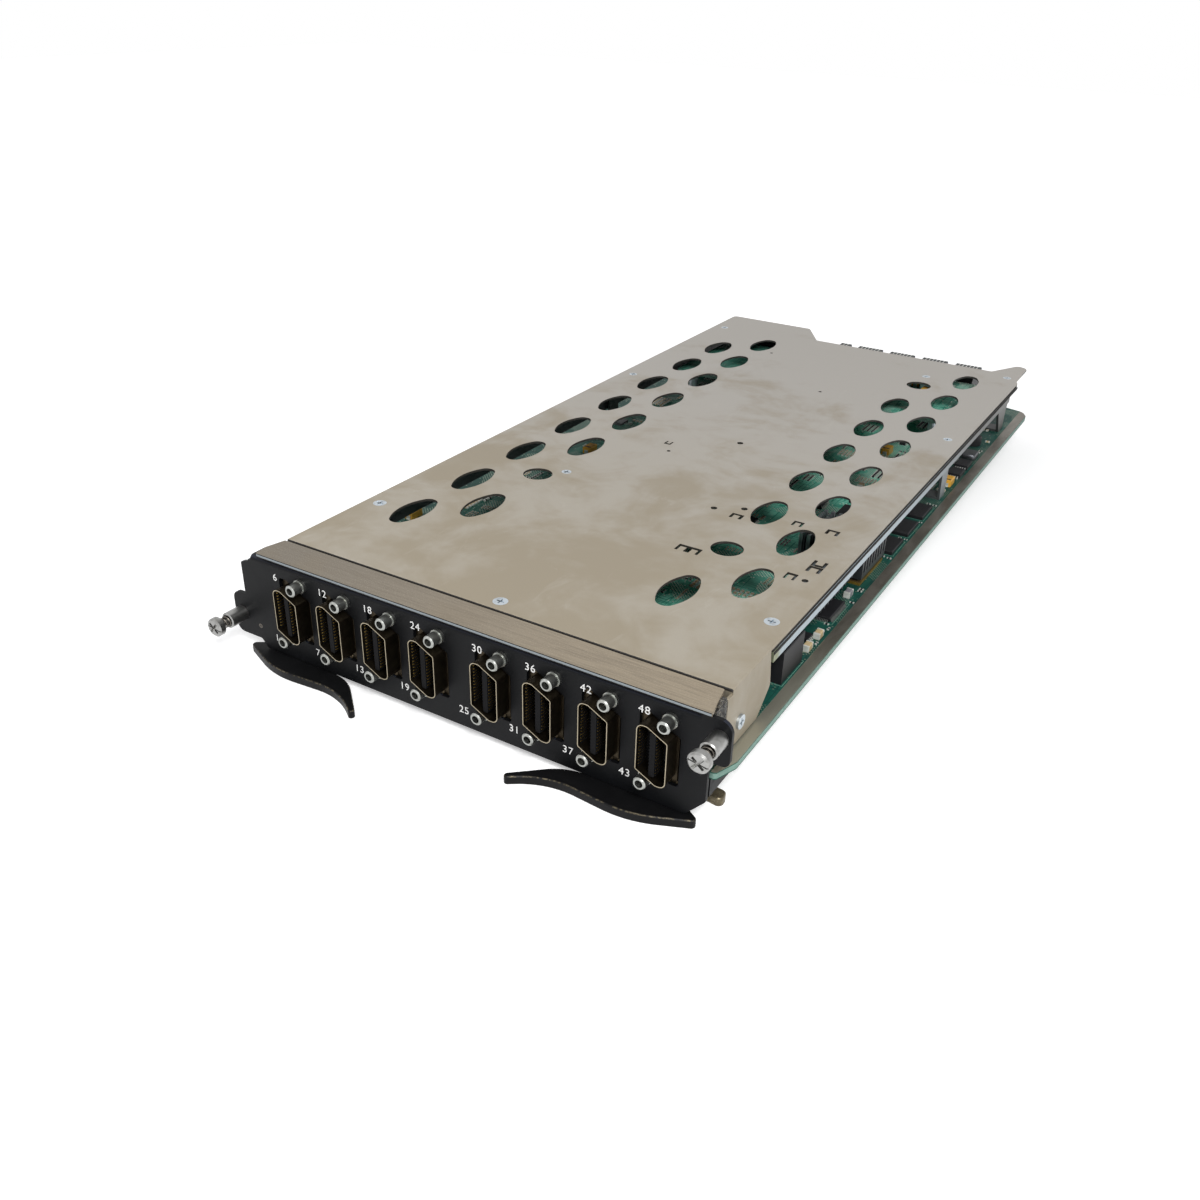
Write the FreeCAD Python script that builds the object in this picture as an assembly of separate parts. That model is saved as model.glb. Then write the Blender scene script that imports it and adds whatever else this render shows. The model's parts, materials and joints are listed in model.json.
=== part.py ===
import FreeCAD, Part
import os
from math import cos, radians, sin, tan
from FreeCAD import Vector

# A switch line card lying flat. X runs along the faceplate, Y from the faceplate to the
# backplane end, Z up. It is drawn with the middle of the two ears at X = 0, the front of the
# faceplate at Y = 0 and the underside of the ejector levers at Z = 0. Millimetres.

# Driving dimensions
card_length = 412.0
ear_span = 216.0
card_height = 46.5
board_width = 211.0
board_top = 21.8
board_thick = 2.8
cover_thick = 1.0
lever_thick = 3.5
sheet = 1.5
rail_sheet = 1.2
fit_gap = 0.05
clear_gap = 0.3

# Faceplate
ear_reach = ear_span / 2.0
body_half = 101.0
plate_bottom = lever_thick + clear_gap
plate_top = 44.0
plate_bend = 2.0
plate_flange = 8.0
bend_left = -95.5
bend_right = 97.4
ear_height = 18.2
left_ear_bottom = 7.2
right_ear_top = 44.6

# Sockets
row_mid = 5.0
socket_pitch = 21.7
socket_gap = 26.9
socket_height = 25.9
shell_half_width = 5.6
shell_half_height = 10.8
shell_shoulder = 6.8
shell_flat = -1.8
shell_wall = 0.3
shell_reach = 5.5
window_half = 7.5
window_rise = 12.6
window_gap = 0.6
flange_half = (8.8, 15.4)
flange_thick = 1.0
flange_back = sheet + flange_thick
tongue_half = 1.0
tongue_height = 8.4
tongue_reach = 4.6
insert_floor = 0.9
insert_back = 20.0
insert_half = 6.8
insert_rise = 10.4
jack_offset = (3.75, 12.35)
jack_radius = 2.35
jack_reach = 5.7
jack_collar = 2.75
collar_thick = 1.2
jack_shank = 1.5
jack_tail = 4.5
jack_bore = 1.45
jack_bore_depth = 4.5

# Captive screws
screw_x = ear_reach - 4.0
left_screw_z = 16.1
right_screw_z = 37.8
sleeve_radius = 3.2
sleeve_reach = 8.2
sleeve_neck = 2.8
sleeve_lip = 3.5
sleeve_lip_thick = 0.8
ear_back = sheet + sleeve_lip_thick
spring_bore = 2.5
spring_seat = -1.5
shank_radius = 1.45
head_radius = 3.8
head_front = -15.0
head_thick = 3.0
head_cross = (2.6, 0.5, 40.0)
head_slot = (0.25, 10.0)
thread_radius = 1.95
thread_end = 6.6
spring_wire = 0.6
spring_turns = 6.0

# Ejector levers
lever_mid = -1.0
pivot_out = body_half - 13.0
pivot_back = 9.0
pivot_radius = 2.5
rivet_head = 4.0
rivet_sink = 1.4
rivet_button = 1.0
lever_edge = 0.35

# Brackets behind the faceplate
strip_left = -91.0
strip_front = -1.0
strip_back = 13.1
strip_right = 101.2
strip_taper = 2.7
end_wall = 98.9
end_wall_back = 10.4
ledge_back = 27.0
tab_front = 16.5
tab_lift = 2.0
web_window = 33.0
web_bar = 4.0
web_round = 3.0
bracket_depth = 24.0
channel_lip = 6.0
channel_inset = 8.5
end_pad_thick = 2.2
tie_inset = 9.5
wall_bottom = 12.1

# Cover
left_reach = 90.0
cover_left = -left_reach
cover_right = 101.0
cover_front = 14.35
flange_front = 11.0
corner_relief = 1.0
cover_back = card_length + 5.5
recess_back = card_length - 16.6
cover_under = card_height - cover_thick
side_flange_back = 43.5
fold_turn = 4.0
side_flange_bottom = board_top + 0.7
vent_half_width = 6.5
vent_half_length = 13.2
vent_end_radius = 4.0
vent_pitch = 40.4
vent_first = 62.2
vent_inner = 51.2
vent_outer = 71.5
front_screw_radius = 2.8
rear_screw_radius = 2.2
cover_screw_shank = 1.25
cover_screw_length = 7.0
front_screw = (7.7, 20.0)
screw_inset = 7.2
screw_rows = (60.1, 271.0, card_length - 24.5)
post_screws = ((-37.1, 132.1), (54.8, card_length - 48.7))
flange_screw_y = 21.6
flange_screw_z = 30.3
flange_screw_shank = 1.4
flange_screw_head = 2.6
flange_screw_reach = 4.5

# Side rails
rail_front = 46.5
rail_back = card_length - 20.0
rail_shelf = card_height - 3.1
rail_low = card_height - 7.1
left_rail_low = 30.0
rail_flange_reach = 15.0
rail_step = 2.2
foot_reach = 8.0
leg_back = card_length - 37.0
web_back = card_length - 44.0
step_back = card_length - 28.0

# Board and what stands on it
board_front = 3.0
board_half = board_width / 2.0
board_under = board_top - board_thick
tooling_radius = 1.6
tooling_inset = 14.0
tooling_front = 34.0
tooling_back = card_length - 11.0
backplane_columns = (3, 7, 7, 7, 7)
backplane_column = 2.09
backplane_pitch = 20.15
backplane_first = -6.8
backplane_top = 42.6
backplane_back = card_length + 1.0
backplane_front = backplane_back - 20.0
package_thick = 3.0
bus_chip_thick = 1.8
bus_chip_across = 16.6
bus_chip_out = 97.6
bus_chip_front = 112.6
logic_size = (6.0, 10.0, 1.8)
tantalum_size = (4.3, 7.3, 3.4)
ceramic_size = (2.6, 4.6, 2.6)
flat_chip = 17.0
flat_chip_front = 62.0
flat_chip_pitch = 26.0
memory_across = 14.0
memory_along = 16.0
low_chip_thick = 1.6
rear_board_half = 80.0
rear_board_front = card_length - 94.0
rear_board_back = card_length - 20.0
rear_board_top = 38.0
rear_board_thick = 1.6
choke_radius = 5.0
choke_height = 4.6
asic_x = 83.0
asic_y = 162.0
asic_across = 28.0
sink_top = 38.6
sink_across = 28.7
sink_rows = 9
sink_fin = 1.5
comb_in = 80.0
comb_out = 96.0
comb_front = 101.0
comb_pitch = 3.8
comb_count = 11
comb_fin = 0.9
chip_edge = 99.0
memory_first = 183.0
memory_pitch = 21.7


def flat(u, v):
    return Vector(u, v, 0)


def upright(u, v):
    return Vector(u, 0, v)


def sideways(u, v):
    return Vector(0, u, v)


def rounded_face(corners, place):
    """A flat face from corners (u, v, radius), each corner an arc of its own radius."""
    points = [Vector(u, v, 0) for u, v, radius in corners]
    edges = []
    first = None
    last = None
    for i, (u, v, radius) in enumerate(corners):
        here = points[i]
        back = (points[i - 1] - here).normalize()
        ahead = (points[(i + 1) % len(points)] - here).normalize()
        start = here
        end = here
        if radius > 0:
            half = back.getAngle(ahead) / 2.0
            start = here + back * (radius / tan(half))
            end = here + ahead * (radius / tan(half))
            middle = here + (back + ahead).normalize() * (radius / sin(half) - radius)
        if last is not None and (start - last).Length > 1e-6:
            edges.append(Part.makeLine(place(last.x, last.y), place(start.x, start.y)))
        if radius > 0:
            arc = Part.Arc(place(start.x, start.y), place(middle.x, middle.y), place(end.x, end.y))
            edges.append(arc.toShape())
        first = first or start
        last = end
    if (first - last).Length > 1e-6:
        edges.append(Part.makeLine(place(last.x, last.y), place(first.x, first.y)))
    return Part.Face(Part.Wire(edges))


def box(x0, x1, y0, y1, z0, z1):
    return Part.makeBox(x1 - x0, y1 - y0, z1 - z0, Vector(x0, y0, z0))


def post(radius, x, y, z0, z1):
    return Part.makeCylinder(radius, z1 - z0, Vector(x, y, z0), Vector(0, 0, 1))


def rod(radius, x, z, y0, y1):
    return Part.makeCylinder(radius, y1 - y0, Vector(x, y0, z), Vector(0, 1, 0))


def along_x(radius, x0, x1):
    """A round bar on the flange screw's own line."""
    return Part.makeCylinder(radius, x1 - x0, Vector(x0, flange_screw_y, flange_screw_z), Vector(1, 0, 0))


def turned(profile, x, z):
    """A piece turned about the line along Y at (x, z), from (radius, y) points."""
    wire = Part.makePolygon([Vector(r, y, 0) for r, y in profile + profile[:1]])
    solid = Part.Face(wire).revolve(Vector(0, 0, 0), Vector(0, 1, 0), 360)
    solid.translate(Vector(x, 0, z))
    return solid


def joined(pieces):
    return pieces[0].multiFuse(pieces[1:]).removeSplitter()


def mirrored(shape, x):
    return shape.mirror(Vector(x, 0, 0), Vector(1, 0, 0))


def socket_places():
    """The X of the eight socket centres, two groups of four."""
    offsets = [socket_gap / 2.0 + socket_pitch * i for i in range(4)]
    return sorted([row_mid - x for x in offsets] + [row_mid + x for x in offsets])


def socket_outline():
    """The six-sided mouth of a socket, two opposite corners cut away."""
    w = shell_half_width
    h = shell_half_height
    half = [(-w, h, 2.4), (shell_flat, h, 1.6), (w, shell_shoulder, 0.9)]
    other = [(-u, -v, r) for u, v, r in half]
    return rounded_face(half + other, upright)


def window_outline():
    """The plate's opening round a socket, wider than the shell except beside the jackscrews."""
    w = window_half
    h = window_rise
    edge = shell_half_height + window_gap
    slope = (shell_half_height - shell_shoulder) / (shell_half_width - shell_flat)
    top_end = shell_flat - (h - edge) / slope
    half = [(-w, h, 1.0), (top_end, h, 0.8), (w, edge - slope * (w - shell_flat), 1.2)]
    other = [(-u, -v, r) for u, v, r in half]
    return rounded_face(half + other, upright)


def jack_places(x):
    dx, dz = jack_offset
    return [(x + dx, socket_height + dz), (x - dx, socket_height - dz)]


def captive_places():
    return [("left", -screw_x, left_screw_z), ("right", screw_x, right_screw_z)]


def faceplate():
    low = left_ear_bottom
    high = right_ear_top
    side = body_half
    reach = ear_reach
    corners = [
        (bend_left, plate_top, 0.8),
        (bend_left - 1.6, plate_top - 3.0, 0.6),
        (-side, plate_top - 4.2, 1.2),
        (-side, low + ear_height, 0.8),
        (-reach, low + ear_height, 3.6),
        (-reach, low, 3.4),
        (-side + 6.0, low, 1.0),
        (-side + 9.0, plate_bottom, 0),
        (side - 7.0, plate_bottom, 0),
        (side, plate_bottom + 7.8, 1.0),
        (side, high - ear_height + 1.2, 1.6),
        (reach, high - ear_height + 1.2, 2.8),
        (reach, high, 4.6),
        (bend_right + 1.4, high, 0.5),
        (bend_right, plate_top, 0),
    ]
    plate = rounded_face(corners, upright).extrude(Vector(0, sheet, 0))
    top_box = box(bend_left - 3.0, bend_right, -1.0, sheet + 1.0, plate_top - plate_bend, plate_top + 1)
    plate = plate.cut(top_box)
    section = rounded_face([
        (0, plate_top - plate_bend, 0),
        (0, plate_top, plate_bend),
        (plate_flange, plate_top, 0),
        (plate_flange, plate_top - sheet, 0),
        (sheet, plate_top - sheet, plate_bend - sheet),
        (sheet, plate_top - plate_bend, 0),
    ], sideways)
    fold = section.extrude(Vector(bend_right - bend_left, 0, 0))
    fold.translate(Vector(bend_left, 0, 0))
    plate = plate.fuse(fold)
    holes = []
    for x in socket_places():
        mouth = window_outline().extrude(Vector(0, 3 * sheet, 0))
        mouth.translate(Vector(x, -sheet, socket_height))
        holes.append(mouth)
        for px, pz in jack_places(x):
            holes.append(rod(jack_shank + fit_gap, px, pz, -1, 3))
    for side_name, x, z in captive_places():
        holes.append(rod(sleeve_neck + fit_gap, x, z, -1, 3))
    return plate.cut(holes).removeSplitter()


def top_bracket():
    """Strip over the faceplate, stepped down under the cover, with a web and an end wall."""
    top = card_height
    strip = rounded_face([
        (strip_left, strip_front, 1.0),
        (strip_right, strip_front, 0.4),
        (strip_right - strip_taper, strip_back, 0.4),
        (strip_left + 1.4, strip_back, 0.6),
        (strip_left - 0.6, 4.6, 3.0),
    ], flat).extrude(Vector(0, 0, sheet))
    strip.translate(Vector(0, 0, top - sheet))
    left = cover_left + fold_turn + clear_gap
    inner = cover_right - fold_turn - 2 * clear_gap
    tab_out = cover_right - cover_thick
    ledge = box(left, inner, strip_back - sheet, ledge_back, cover_under - sheet, cover_under)
    web = box(left, tab_out, ledge_back - sheet, ledge_back, board_top, cover_under - sheet)
    tab = box(tab_out - sheet, tab_out, tab_front, ledge_back, board_top + tab_lift, cover_under - sheet)
    wall_front = sheet + clear_gap
    wall = box(end_wall - sheet, end_wall, wall_front, end_wall_back, board_top + tab_lift, top - sheet)
    bracket = joined([strip, ledge, web, tab, wall])
    cuts = []
    pitch = web_window + web_bar
    for i in range(5):
        x0 = left + 2 * web_bar + i * pitch
        x1 = x0 + web_window
        low = board_top + web_bar
        high = cover_under - sheet - web_bar
        face = rounded_face([
            (x0, low, web_round), (x1, low, web_round), (x1, high, web_round), (x0, high, web_round),
        ], upright).extrude(Vector(0, 3 * sheet, 0))
        face.translate(Vector(0, ledge_back - 2 * sheet, 0))
        cuts.append(face)
    cuts.append(post(cover_screw_shank + fit_gap, front_screw[0], front_screw[1], board_top, top))
    cuts.append(along_x(flange_screw_shank + fit_gap, tab_out - 2 * sheet, cover_right))
    return bracket.cut(cuts)


def lower_bracket():
    """Black channel under the board, closed at both ends, that carries the lever rivets."""
    low = plate_bottom
    short = body_half - channel_inset
    front = box(-short, short, sheet, 2 * sheet, low, low + channel_lip)
    floor = box(-short, short, sheet, bracket_depth, low, low + sheet)
    back = rounded_face([
        (-short, low, 0), (short, low, 0), (body_half, wall_bottom, 0),
        (body_half, board_under, 0), (-body_half, board_under, 0), (-body_half, wall_bottom, 0),
    ], upright).extrude(Vector(0, sheet, 0))
    back.translate(Vector(0, bracket_depth - sheet, 0))
    end = box(body_half - sheet, body_half, ear_back + clear_gap, bracket_depth, wall_bottom, board_under)
    tie_out = pivot_out - tie_inset
    tie = box(tie_out - sheet, tie_out, 2 * sheet, bracket_depth - sheet, low + sheet, low + channel_lip)
    channel = joined([front, floor, back, end, mirrored(end, 0), tie, mirrored(tie, 0)])
    holes = [post(pivot_radius + fit_gap, x, y, low - 1, low + 3) for x, y in pivots()]
    slots = 6
    pitch = 2 * tie_out / slots
    for i in range(slots):
        x0 = -tie_out + pitch * (i + 0.2)
        x1 = x0 + 0.6 * pitch
        slot = rounded_face([
            (x0, 8, 3), (x1, 8, 3), (x1, 17, 3), (x0, 17, 3),
        ], flat).extrude(Vector(0, 0, 3 * sheet))
        slot.translate(Vector(0, 0, low - sheet))
        holes.append(slot)
    return channel.cut(holes)


def top_gasket():
    return box(bend_left + 3.0, bend_right, 0.8, plate_flange, plate_top, card_height - sheet)


def end_gasket():
    """Soft pad on the bracket's end wall, frayed where it stands up beside the strip's end."""
    x0 = end_wall
    x1 = x0 + end_pad_thick
    y0 = ear_back + clear_gap
    top = card_height - sheet
    pieces = [box(x0, x1, y0, end_wall_back - 0.1, board_top + 8.0, top - fit_gap)]
    slope = strip_taper / (strip_back - strip_front)
    tuft = 1.4
    for i in range(1, 4):
        y = y0 + 2.0 * i
        edge = strip_right - slope * (y - strip_front) + fit_gap
        rise = card_height - 0.4 - 0.3 * (i % 2)
        pieces.append(box(edge, x1 - 0.1, y, y + tuft, top - 1.0, rise))
    return joined(pieces)


def connector_shell(x):
    """Formed metal shell: a six-sided tube on a flat flange."""
    outer = socket_outline()
    inner = outer.makeOffset2D(-shell_wall)
    depth = shell_reach + flange_back
    tube = outer.extrude(Vector(0, depth, 0))
    tube.translate(Vector(0, -shell_reach, 0))
    w, h = flange_half
    flange = rounded_face([(-w, -h, 1.5), (w, -h, 1.5), (w, h, 1.5), (-w, h, 1.5)], upright)
    flange = flange.extrude(Vector(0, flange_thick, 0))
    flange.translate(Vector(0, sheet, 0))
    shell = tube.fuse(flange)
    hollow = inner.extrude(Vector(0, depth + 2, 0))
    hollow.translate(Vector(0, -shell_reach - 1, 0))
    holes = [hollow]
    for px, pz in jack_places(0):
        holes.append(rod(jack_shank + fit_gap, px, pz - socket_height, 0, 4))
    shell = shell.cut(holes).removeSplitter()
    shell.translate(Vector(x, 0, socket_height))
    return shell


def connector_insert(x):
    """Moulded contact block: floor and tongue in the mouth, housing behind on the board."""
    floor = socket_outline().makeOffset2D(-shell_wall - fit_gap)
    floor = floor.extrude(Vector(0, flange_back - insert_floor, 0))
    floor.translate(Vector(0, insert_floor, 0))
    tongue = rounded_face([
        (-tongue_half, -tongue_height, 0.4), (tongue_half, -tongue_height, 0.4),
        (tongue_half, tongue_height, 0.4), (-tongue_half, tongue_height, 0.4),
    ], upright).extrude(Vector(0, tongue_reach + insert_floor, 0))
    tongue.translate(Vector(0, -tongue_reach, 0))
    low = board_top - socket_height
    step = insert_back - 7.0
    housing = rounded_face([
        (flange_back, low, 0), (insert_back, low, 0), (insert_back, low + 8.0, 1.5),
        (step, low + 11.0, 1.5), (step, insert_rise, 1.0), (flange_back, insert_rise, 0),
    ], sideways).extrude(Vector(2 * insert_half, 0, 0))
    housing.translate(Vector(-insert_half, 0, 0))
    insert = joined([floor, tongue, housing])
    insert.translate(Vector(x, 0, socket_height))
    return insert


def jackscrew(x, z):
    edge = 0.35
    profile = [
        (jack_bore, -jack_reach), (jack_radius - edge, -jack_reach),
        (jack_radius, -jack_reach + edge), (jack_radius, -collar_thick),
        (jack_collar, -collar_thick), (jack_collar, 0), (jack_shank, 0),
        (jack_shank, jack_tail), (0, jack_tail),
        (0, jack_bore_depth - jack_reach), (jack_bore, jack_bore_depth - jack_reach),
    ]
    return turned(profile, x, z)


def sleeve(x, z):
    """Turned sleeve seated on the ear and flared behind it."""
    edge = 0.4
    bore = shank_radius + fit_gap
    lip = ear_back
    profile = [
        (spring_bore, -sleeve_reach), (sleeve_radius - edge, -sleeve_reach),
        (sleeve_radius, -sleeve_reach + edge), (sleeve_radius, 0), (sleeve_neck, 0),
        (sleeve_neck, sheet), (sleeve_lip, sheet), (sleeve_lip, lip), (bore, lip),
        (bore, spring_seat), (spring_bore, spring_seat),
    ]
    return turned(profile, x, z)


def captive_screw(x, z):
    """Cross-recessed head with a driver slot, smooth shank and a threaded end."""
    back = head_front + head_thick
    thread_start = ear_back + 0.2
    profile = [
        (0, head_front), (head_radius - 0.7, head_front), (head_radius, head_front + 0.6),
        (head_radius, back - 0.3), (head_radius - 0.3, back), (shank_radius, back),
        (shank_radius, thread_start), (thread_radius, thread_start + 0.3),
        (thread_radius, thread_end - 0.8), (thread_radius - 0.8, thread_end), (0, thread_end),
    ]
    screw = turned(profile, x, z)
    arm, half, turn = head_cross
    thin, slant = head_slot
    cuts = []
    for reach, width, deep, angle in (
        (arm, half, 1.3, turn), (arm, half, 1.3, turn + 90.0), (head_radius + 1, thin, 0.5, slant),
    ):
        bar = box(x - reach, x + reach, head_front - 1, head_front + deep, z - width, z + width)
        bar.rotate(Vector(x, 0, z), Vector(0, 1, 0), angle)
        cuts.append(bar)
    return screw.cut(cuts)


def screw_spring(x, z):
    """Wire coil between the sleeve's seat and the head; the wire's section is six-sided."""
    start = head_front + head_thick + spring_wire / 2.0 + 0.05
    end = spring_seat - spring_wire / 2.0 - 0.05
    length = end - start
    radius = (shank_radius + spring_bore) / 2.0
    path = Part.Wire(Part.makeHelix(length / spring_turns, length, radius).Edges)
    corners = [radians(60 * i) for i in range(7)]
    ring = Part.makePolygon([
        Vector(radius + spring_wire / 2.0 * cos(a), 0, spring_wire / 2.0 * sin(a)) for a in corners
    ])
    coil = path.makePipeShell([ring], True, True)
    coil.rotate(Vector(0, 0, 0), Vector(1, 0, 0), -90)
    coil.translate(Vector(x, start, z))
    return coil


def pivots():
    return [(lever_mid + side * pivot_out, pivot_back) for side in (-1, 1)]


def lever(side):
    """Flat ejector lever, drawn from its pivot: curved handle, notch for the chassis lip, hook."""
    corners = [
        (-53.6, -25.0, 1.2),
        (-41.2, -16.2, 30.0),
        (-9.0, -18.9, 40.0),
        (12.9, -9.4, 1.5),
        (5.6, -4.6, 1.2),
        (6.4, 5.2, 2.6),
        (14.2, 3.8, 2.0),
        (13.6, 9.6, 2.4),
        (3.0, 10.6, 5.0),
        (-9.0, 6.0, 12.0),
        (-22.0, -7.6, 20.0),
        (-39.0, -8.8, 20.0),
        (-54.4, -22.6, 1.2),
    ]
    blade = rounded_face(corners, flat).extrude(Vector(0, 0, lever_thick))
    edges = [e for e in blade.Edges if abs(e.BoundBox.ZLength) < 1e-6]
    blade = blade.makeChamfer(lever_edge, edges)
    hole = post(pivot_radius + fit_gap, 0, 0, -1, lever_thick + 1)
    sink = post(rivet_head + fit_gap, 0, 0, -1, rivet_sink)
    blade = blade.cut([hole, sink])
    if side < 0:
        blade = mirrored(blade, 0)
    blade.translate(Vector(lever_mid + side * pivot_out, pivot_back, 0))
    return blade


def lever_pivots():
    """Two shoulder rivets, headed in the lever's recess and above the bracket's floor."""
    rivets = []
    for x, y in pivots():
        head = post(rivet_head, x, y, clear_gap, rivet_sink - fit_gap)
        top = plate_bottom + sheet
        shank = post(pivot_radius, x, y, clear_gap, top)
        button = post(pivot_radius + 1.2, x, y, top, top + rivet_button)
        rivets.append(joined([head, shank, button]))
    return Part.makeCompound(rivets)


def vent_places():
    """(x, y, round) for every vent: four staggered columns, as many rows as the cover takes."""
    places = []
    for i in range(int((recess_back - vent_first) / vent_pitch)):
        early = vent_first + vent_pitch * i
        late = early + vent_pitch / 2.0
        places.append((row_mid - vent_outer, early, False))
        places.append((row_mid - vent_inner, late, i == 1))
        places.append((row_mid + vent_inner, early, i in (1, 7)))
        places.append((row_mid + vent_outer, late, False))
    return places


def vent_oval():
    """Face of an oval vent: two end arcs and two flatter side arcs that meet tangent."""
    end = vent_end_radius
    run = vent_half_length - end
    side = (vent_half_width ** 2 + run ** 2 - end ** 2) / (2 * (vent_half_width - end))
    meet = end / (side - end)
    u = meet * (side - vent_half_width)
    v = run + meet * run
    rim = [
        (u, v), (0, vent_half_length), (-u, v), (-vent_half_width, 0),
        (-u, -v), (0, -vent_half_length), (u, -v), (vent_half_width, 0), (u, v),
    ]
    arcs = []
    for i in range(0, 8, 2):
        arcs.append(Part.Arc(flat(*rim[i]), flat(*rim[i + 1]), flat(*rim[i + 2])).toShape())
    return Part.Face(Part.Wire(arcs))


def vent_cutter(x, y, is_round):
    if is_round:
        return post(vent_half_width, x, y, cover_under - 1, card_height + 1)
    cutter = vent_oval().extrude(Vector(0, 0, cover_thick + 2))
    cutter.translate(Vector(x, y, cover_under - 1))
    return cutter


def lanced_window(x0, x1, y0, y1, tongues, root):
    """A rectangular window with spring tongues left standing from one edge."""
    window = box(x0, x1, y0, y1, cover_under - 1, card_height + 1)
    pitch = (x1 - x0) / tongues
    reach = 0.68 * (y1 - y0)
    fingers = []
    for i in range(tongues):
        left = x0 + pitch * (i + 0.24)
        right = x0 + pitch * (i + 0.76)
        if root == "front":
            fingers.append(box(left, right, y0 - 1, y0 + reach, cover_under - 2, card_height + 2))
        else:
            fingers.append(box(left, right, y1 - reach, y1 + 1, cover_under - 2, card_height + 2))
    return window.cut(fingers)


def rail_screws(side):
    x = cover_right - screw_inset if side > 0 else cover_left + screw_inset
    return [(x, y) for y in screw_rows]


def screw_places():
    """The countersunk screws in the cover's top."""
    return [front_screw] + list(post_screws) + rail_screws(-1) + rail_screws(1)


def side_flange(side):
    """Folded flange at a front corner of the cover, bevelled at its rear."""
    edge = cover_right if side > 0 else cover_left
    wall = rounded_face([
        (cover_front, cover_under, 0), (cover_front, cover_under - corner_relief, 0),
        (flange_front, cover_under - corner_relief, 0.6), (flange_front, side_flange_bottom, 0.6),
        (side_flange_back - 7.0, side_flange_bottom, 1.0), (side_flange_back + 2.5, 31.0, 3.0),
        (side_flange_back, cover_under, 0),
    ], sideways).extrude(Vector(cover_thick, 0, 0))
    wall.translate(Vector(edge - cover_thick if side > 0 else edge, 0, 0))
    x0 = edge - fold_turn if side > 0 else edge
    back = box(x0, x0 + fold_turn, cover_front, cover_front + cover_thick, side_flange_bottom, cover_under)
    return joined([wall, back])


def top_cover():
    rear = cover_back
    top = rounded_face([
        (cover_left, cover_front, 0.6),
        (cover_right, cover_front, 0.6),
        (cover_right, recess_back - 13.6, 0.5),
        (cover_right - 1.4, recess_back - 10.1, 0.8),
        (cover_right - 1.6, rear - 4.0, 4.0),
        (93.0, rear - 3.4, 3.0),
        (83.0, recess_back, 1.0),
        (-23.5, recess_back, 1.0),
        (-36.9, rear, 2.0),
        (cover_left, rear, 3.0),
    ], flat).extrude(Vector(0, 0, cover_thick))
    top.translate(Vector(0, 0, cover_under))
    cover = joined([top, side_flange(-1), side_flange(1)])
    corner_folds = []
    for edge in cover.Edges:
        box_of = edge.BoundBox
        level = abs(box_of.ZMax - card_height) < 1e-6 and box_of.ZLength < 1e-6
        long_side = abs(box_of.XMin - cover_right) < 1e-6 and box_of.YLength > 100
        long_left = abs(box_of.XMax - cover_left) < 1e-6 and box_of.YLength > 100
        if level and (long_side or long_left):
            corner_folds.append(edge)
    cover = cover.makeFillet(0.6, corner_folds)
    cutters = [vent_cutter(x, y, is_round) for x, y, is_round in vent_places()]
    cutters.append(lanced_window(39.0, 49.0, 91.0, 96.2, 2, "front"))
    cutters.append(lanced_window(43.7, 49.0, 129.8, 134.2, 1, "front"))
    cutters.append(lanced_window(68.2, 72.6, 137.0, 141.6, 1, "front"))
    cutters.append(lanced_window(82.7, 88.0, 137.0, 141.6, 1, "front"))
    cutters.append(lanced_window(83.8, 88.2, 92.4, 97.6, 1, "front"))
    cutters.append(lanced_window(88.6, 94.2, 102.4, 107.4, 1, "front"))
    cutters.append(lanced_window(88.6, 94.2, 107.6, 112.6, 1, "rear"))
    cutters.append(lanced_window(-18.0, -14.6, 187.4, 191.2, 1, "rear"))
    for x, y, radius in (
        (35.0, 134.1, 1.4), (46.0, 140.4, 1.4), (91.9, 94.6, 1.3), (-11.4, 180.2, 0.9),
        (12.1, 208.5, 1.5), (15.1, 303.0, 0.9), (-35.7, 353.7, 0.8),
    ):
        cutters.append(post(radius, x, y, cover_under - 1, card_height + 1))
    for x, y in screw_places():
        cutters.append(screw_solid(x, y, fit_gap))
    cutters.append(along_x(flange_screw_shank + clear_gap, cover_right - 2 * cover_thick, cover_right + 1))
    return cover.cut(cutters)


def screw_solid(x, y, grow):
    """Countersunk screw, head flush with the cover; grow gives its clearance."""
    r = (front_screw_radius if y < 100.0 else rear_screw_radius) + grow
    shank = cover_screw_shank + grow
    cone = Part.makeCone(shank, r, cover_thick, Vector(x, y, cover_under))
    stem = post(shank, x, y, card_height - cover_screw_length, cover_under)
    return joined([cone, stem])


def cover_screws():
    """Countersunk screws, each with a cross recess."""
    screws = []
    for x, y in screw_places():
        recess = [
            box(x - 1.5, x + 1.5, y - 0.3, y + 0.3, card_height - 0.7, card_height + 1),
            box(x - 0.3, x + 0.3, y - 1.5, y + 1.5, card_height - 0.7, card_height + 1),
        ]
        screws.append(screw_solid(x, y, 0).cut(recess))
    return Part.makeCompound(screws)


def flange_screw():
    """Pan-head screw that fixes the cover's right flange to the bracket's tab behind it."""
    head = along_x(flange_screw_head, cover_right, cover_right + 0.9)
    shank = along_x(flange_screw_shank, cover_right - flange_screw_reach, cover_right)
    bar = box(cover_right + 0.4, cover_right + 2, flange_screw_y - 1.5, flange_screw_y + 1.5,
              flange_screw_z - 0.3, flange_screw_z + 0.3)
    crossed = bar.rotated(Vector(cover_right, flange_screw_y, flange_screw_z), Vector(1, 0, 0), 90)
    return head.fuse(shank).removeSplitter().cut([bar, crossed])


def standoff(x, y):
    """Six-sided threaded post from the board to the cover."""
    radius = 3.2
    corners = [(radius * cos(radians(60 * i)), radius * sin(radians(60 * i)), 0) for i in range(6)]
    body = rounded_face(corners, flat).extrude(Vector(0, 0, cover_under - board_top))
    body.translate(Vector(x, y, board_top))
    bore = post(cover_screw_shank + fit_gap, x, y, cover_under - 9.0, cover_under + 1)
    return body.cut(bore)


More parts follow.
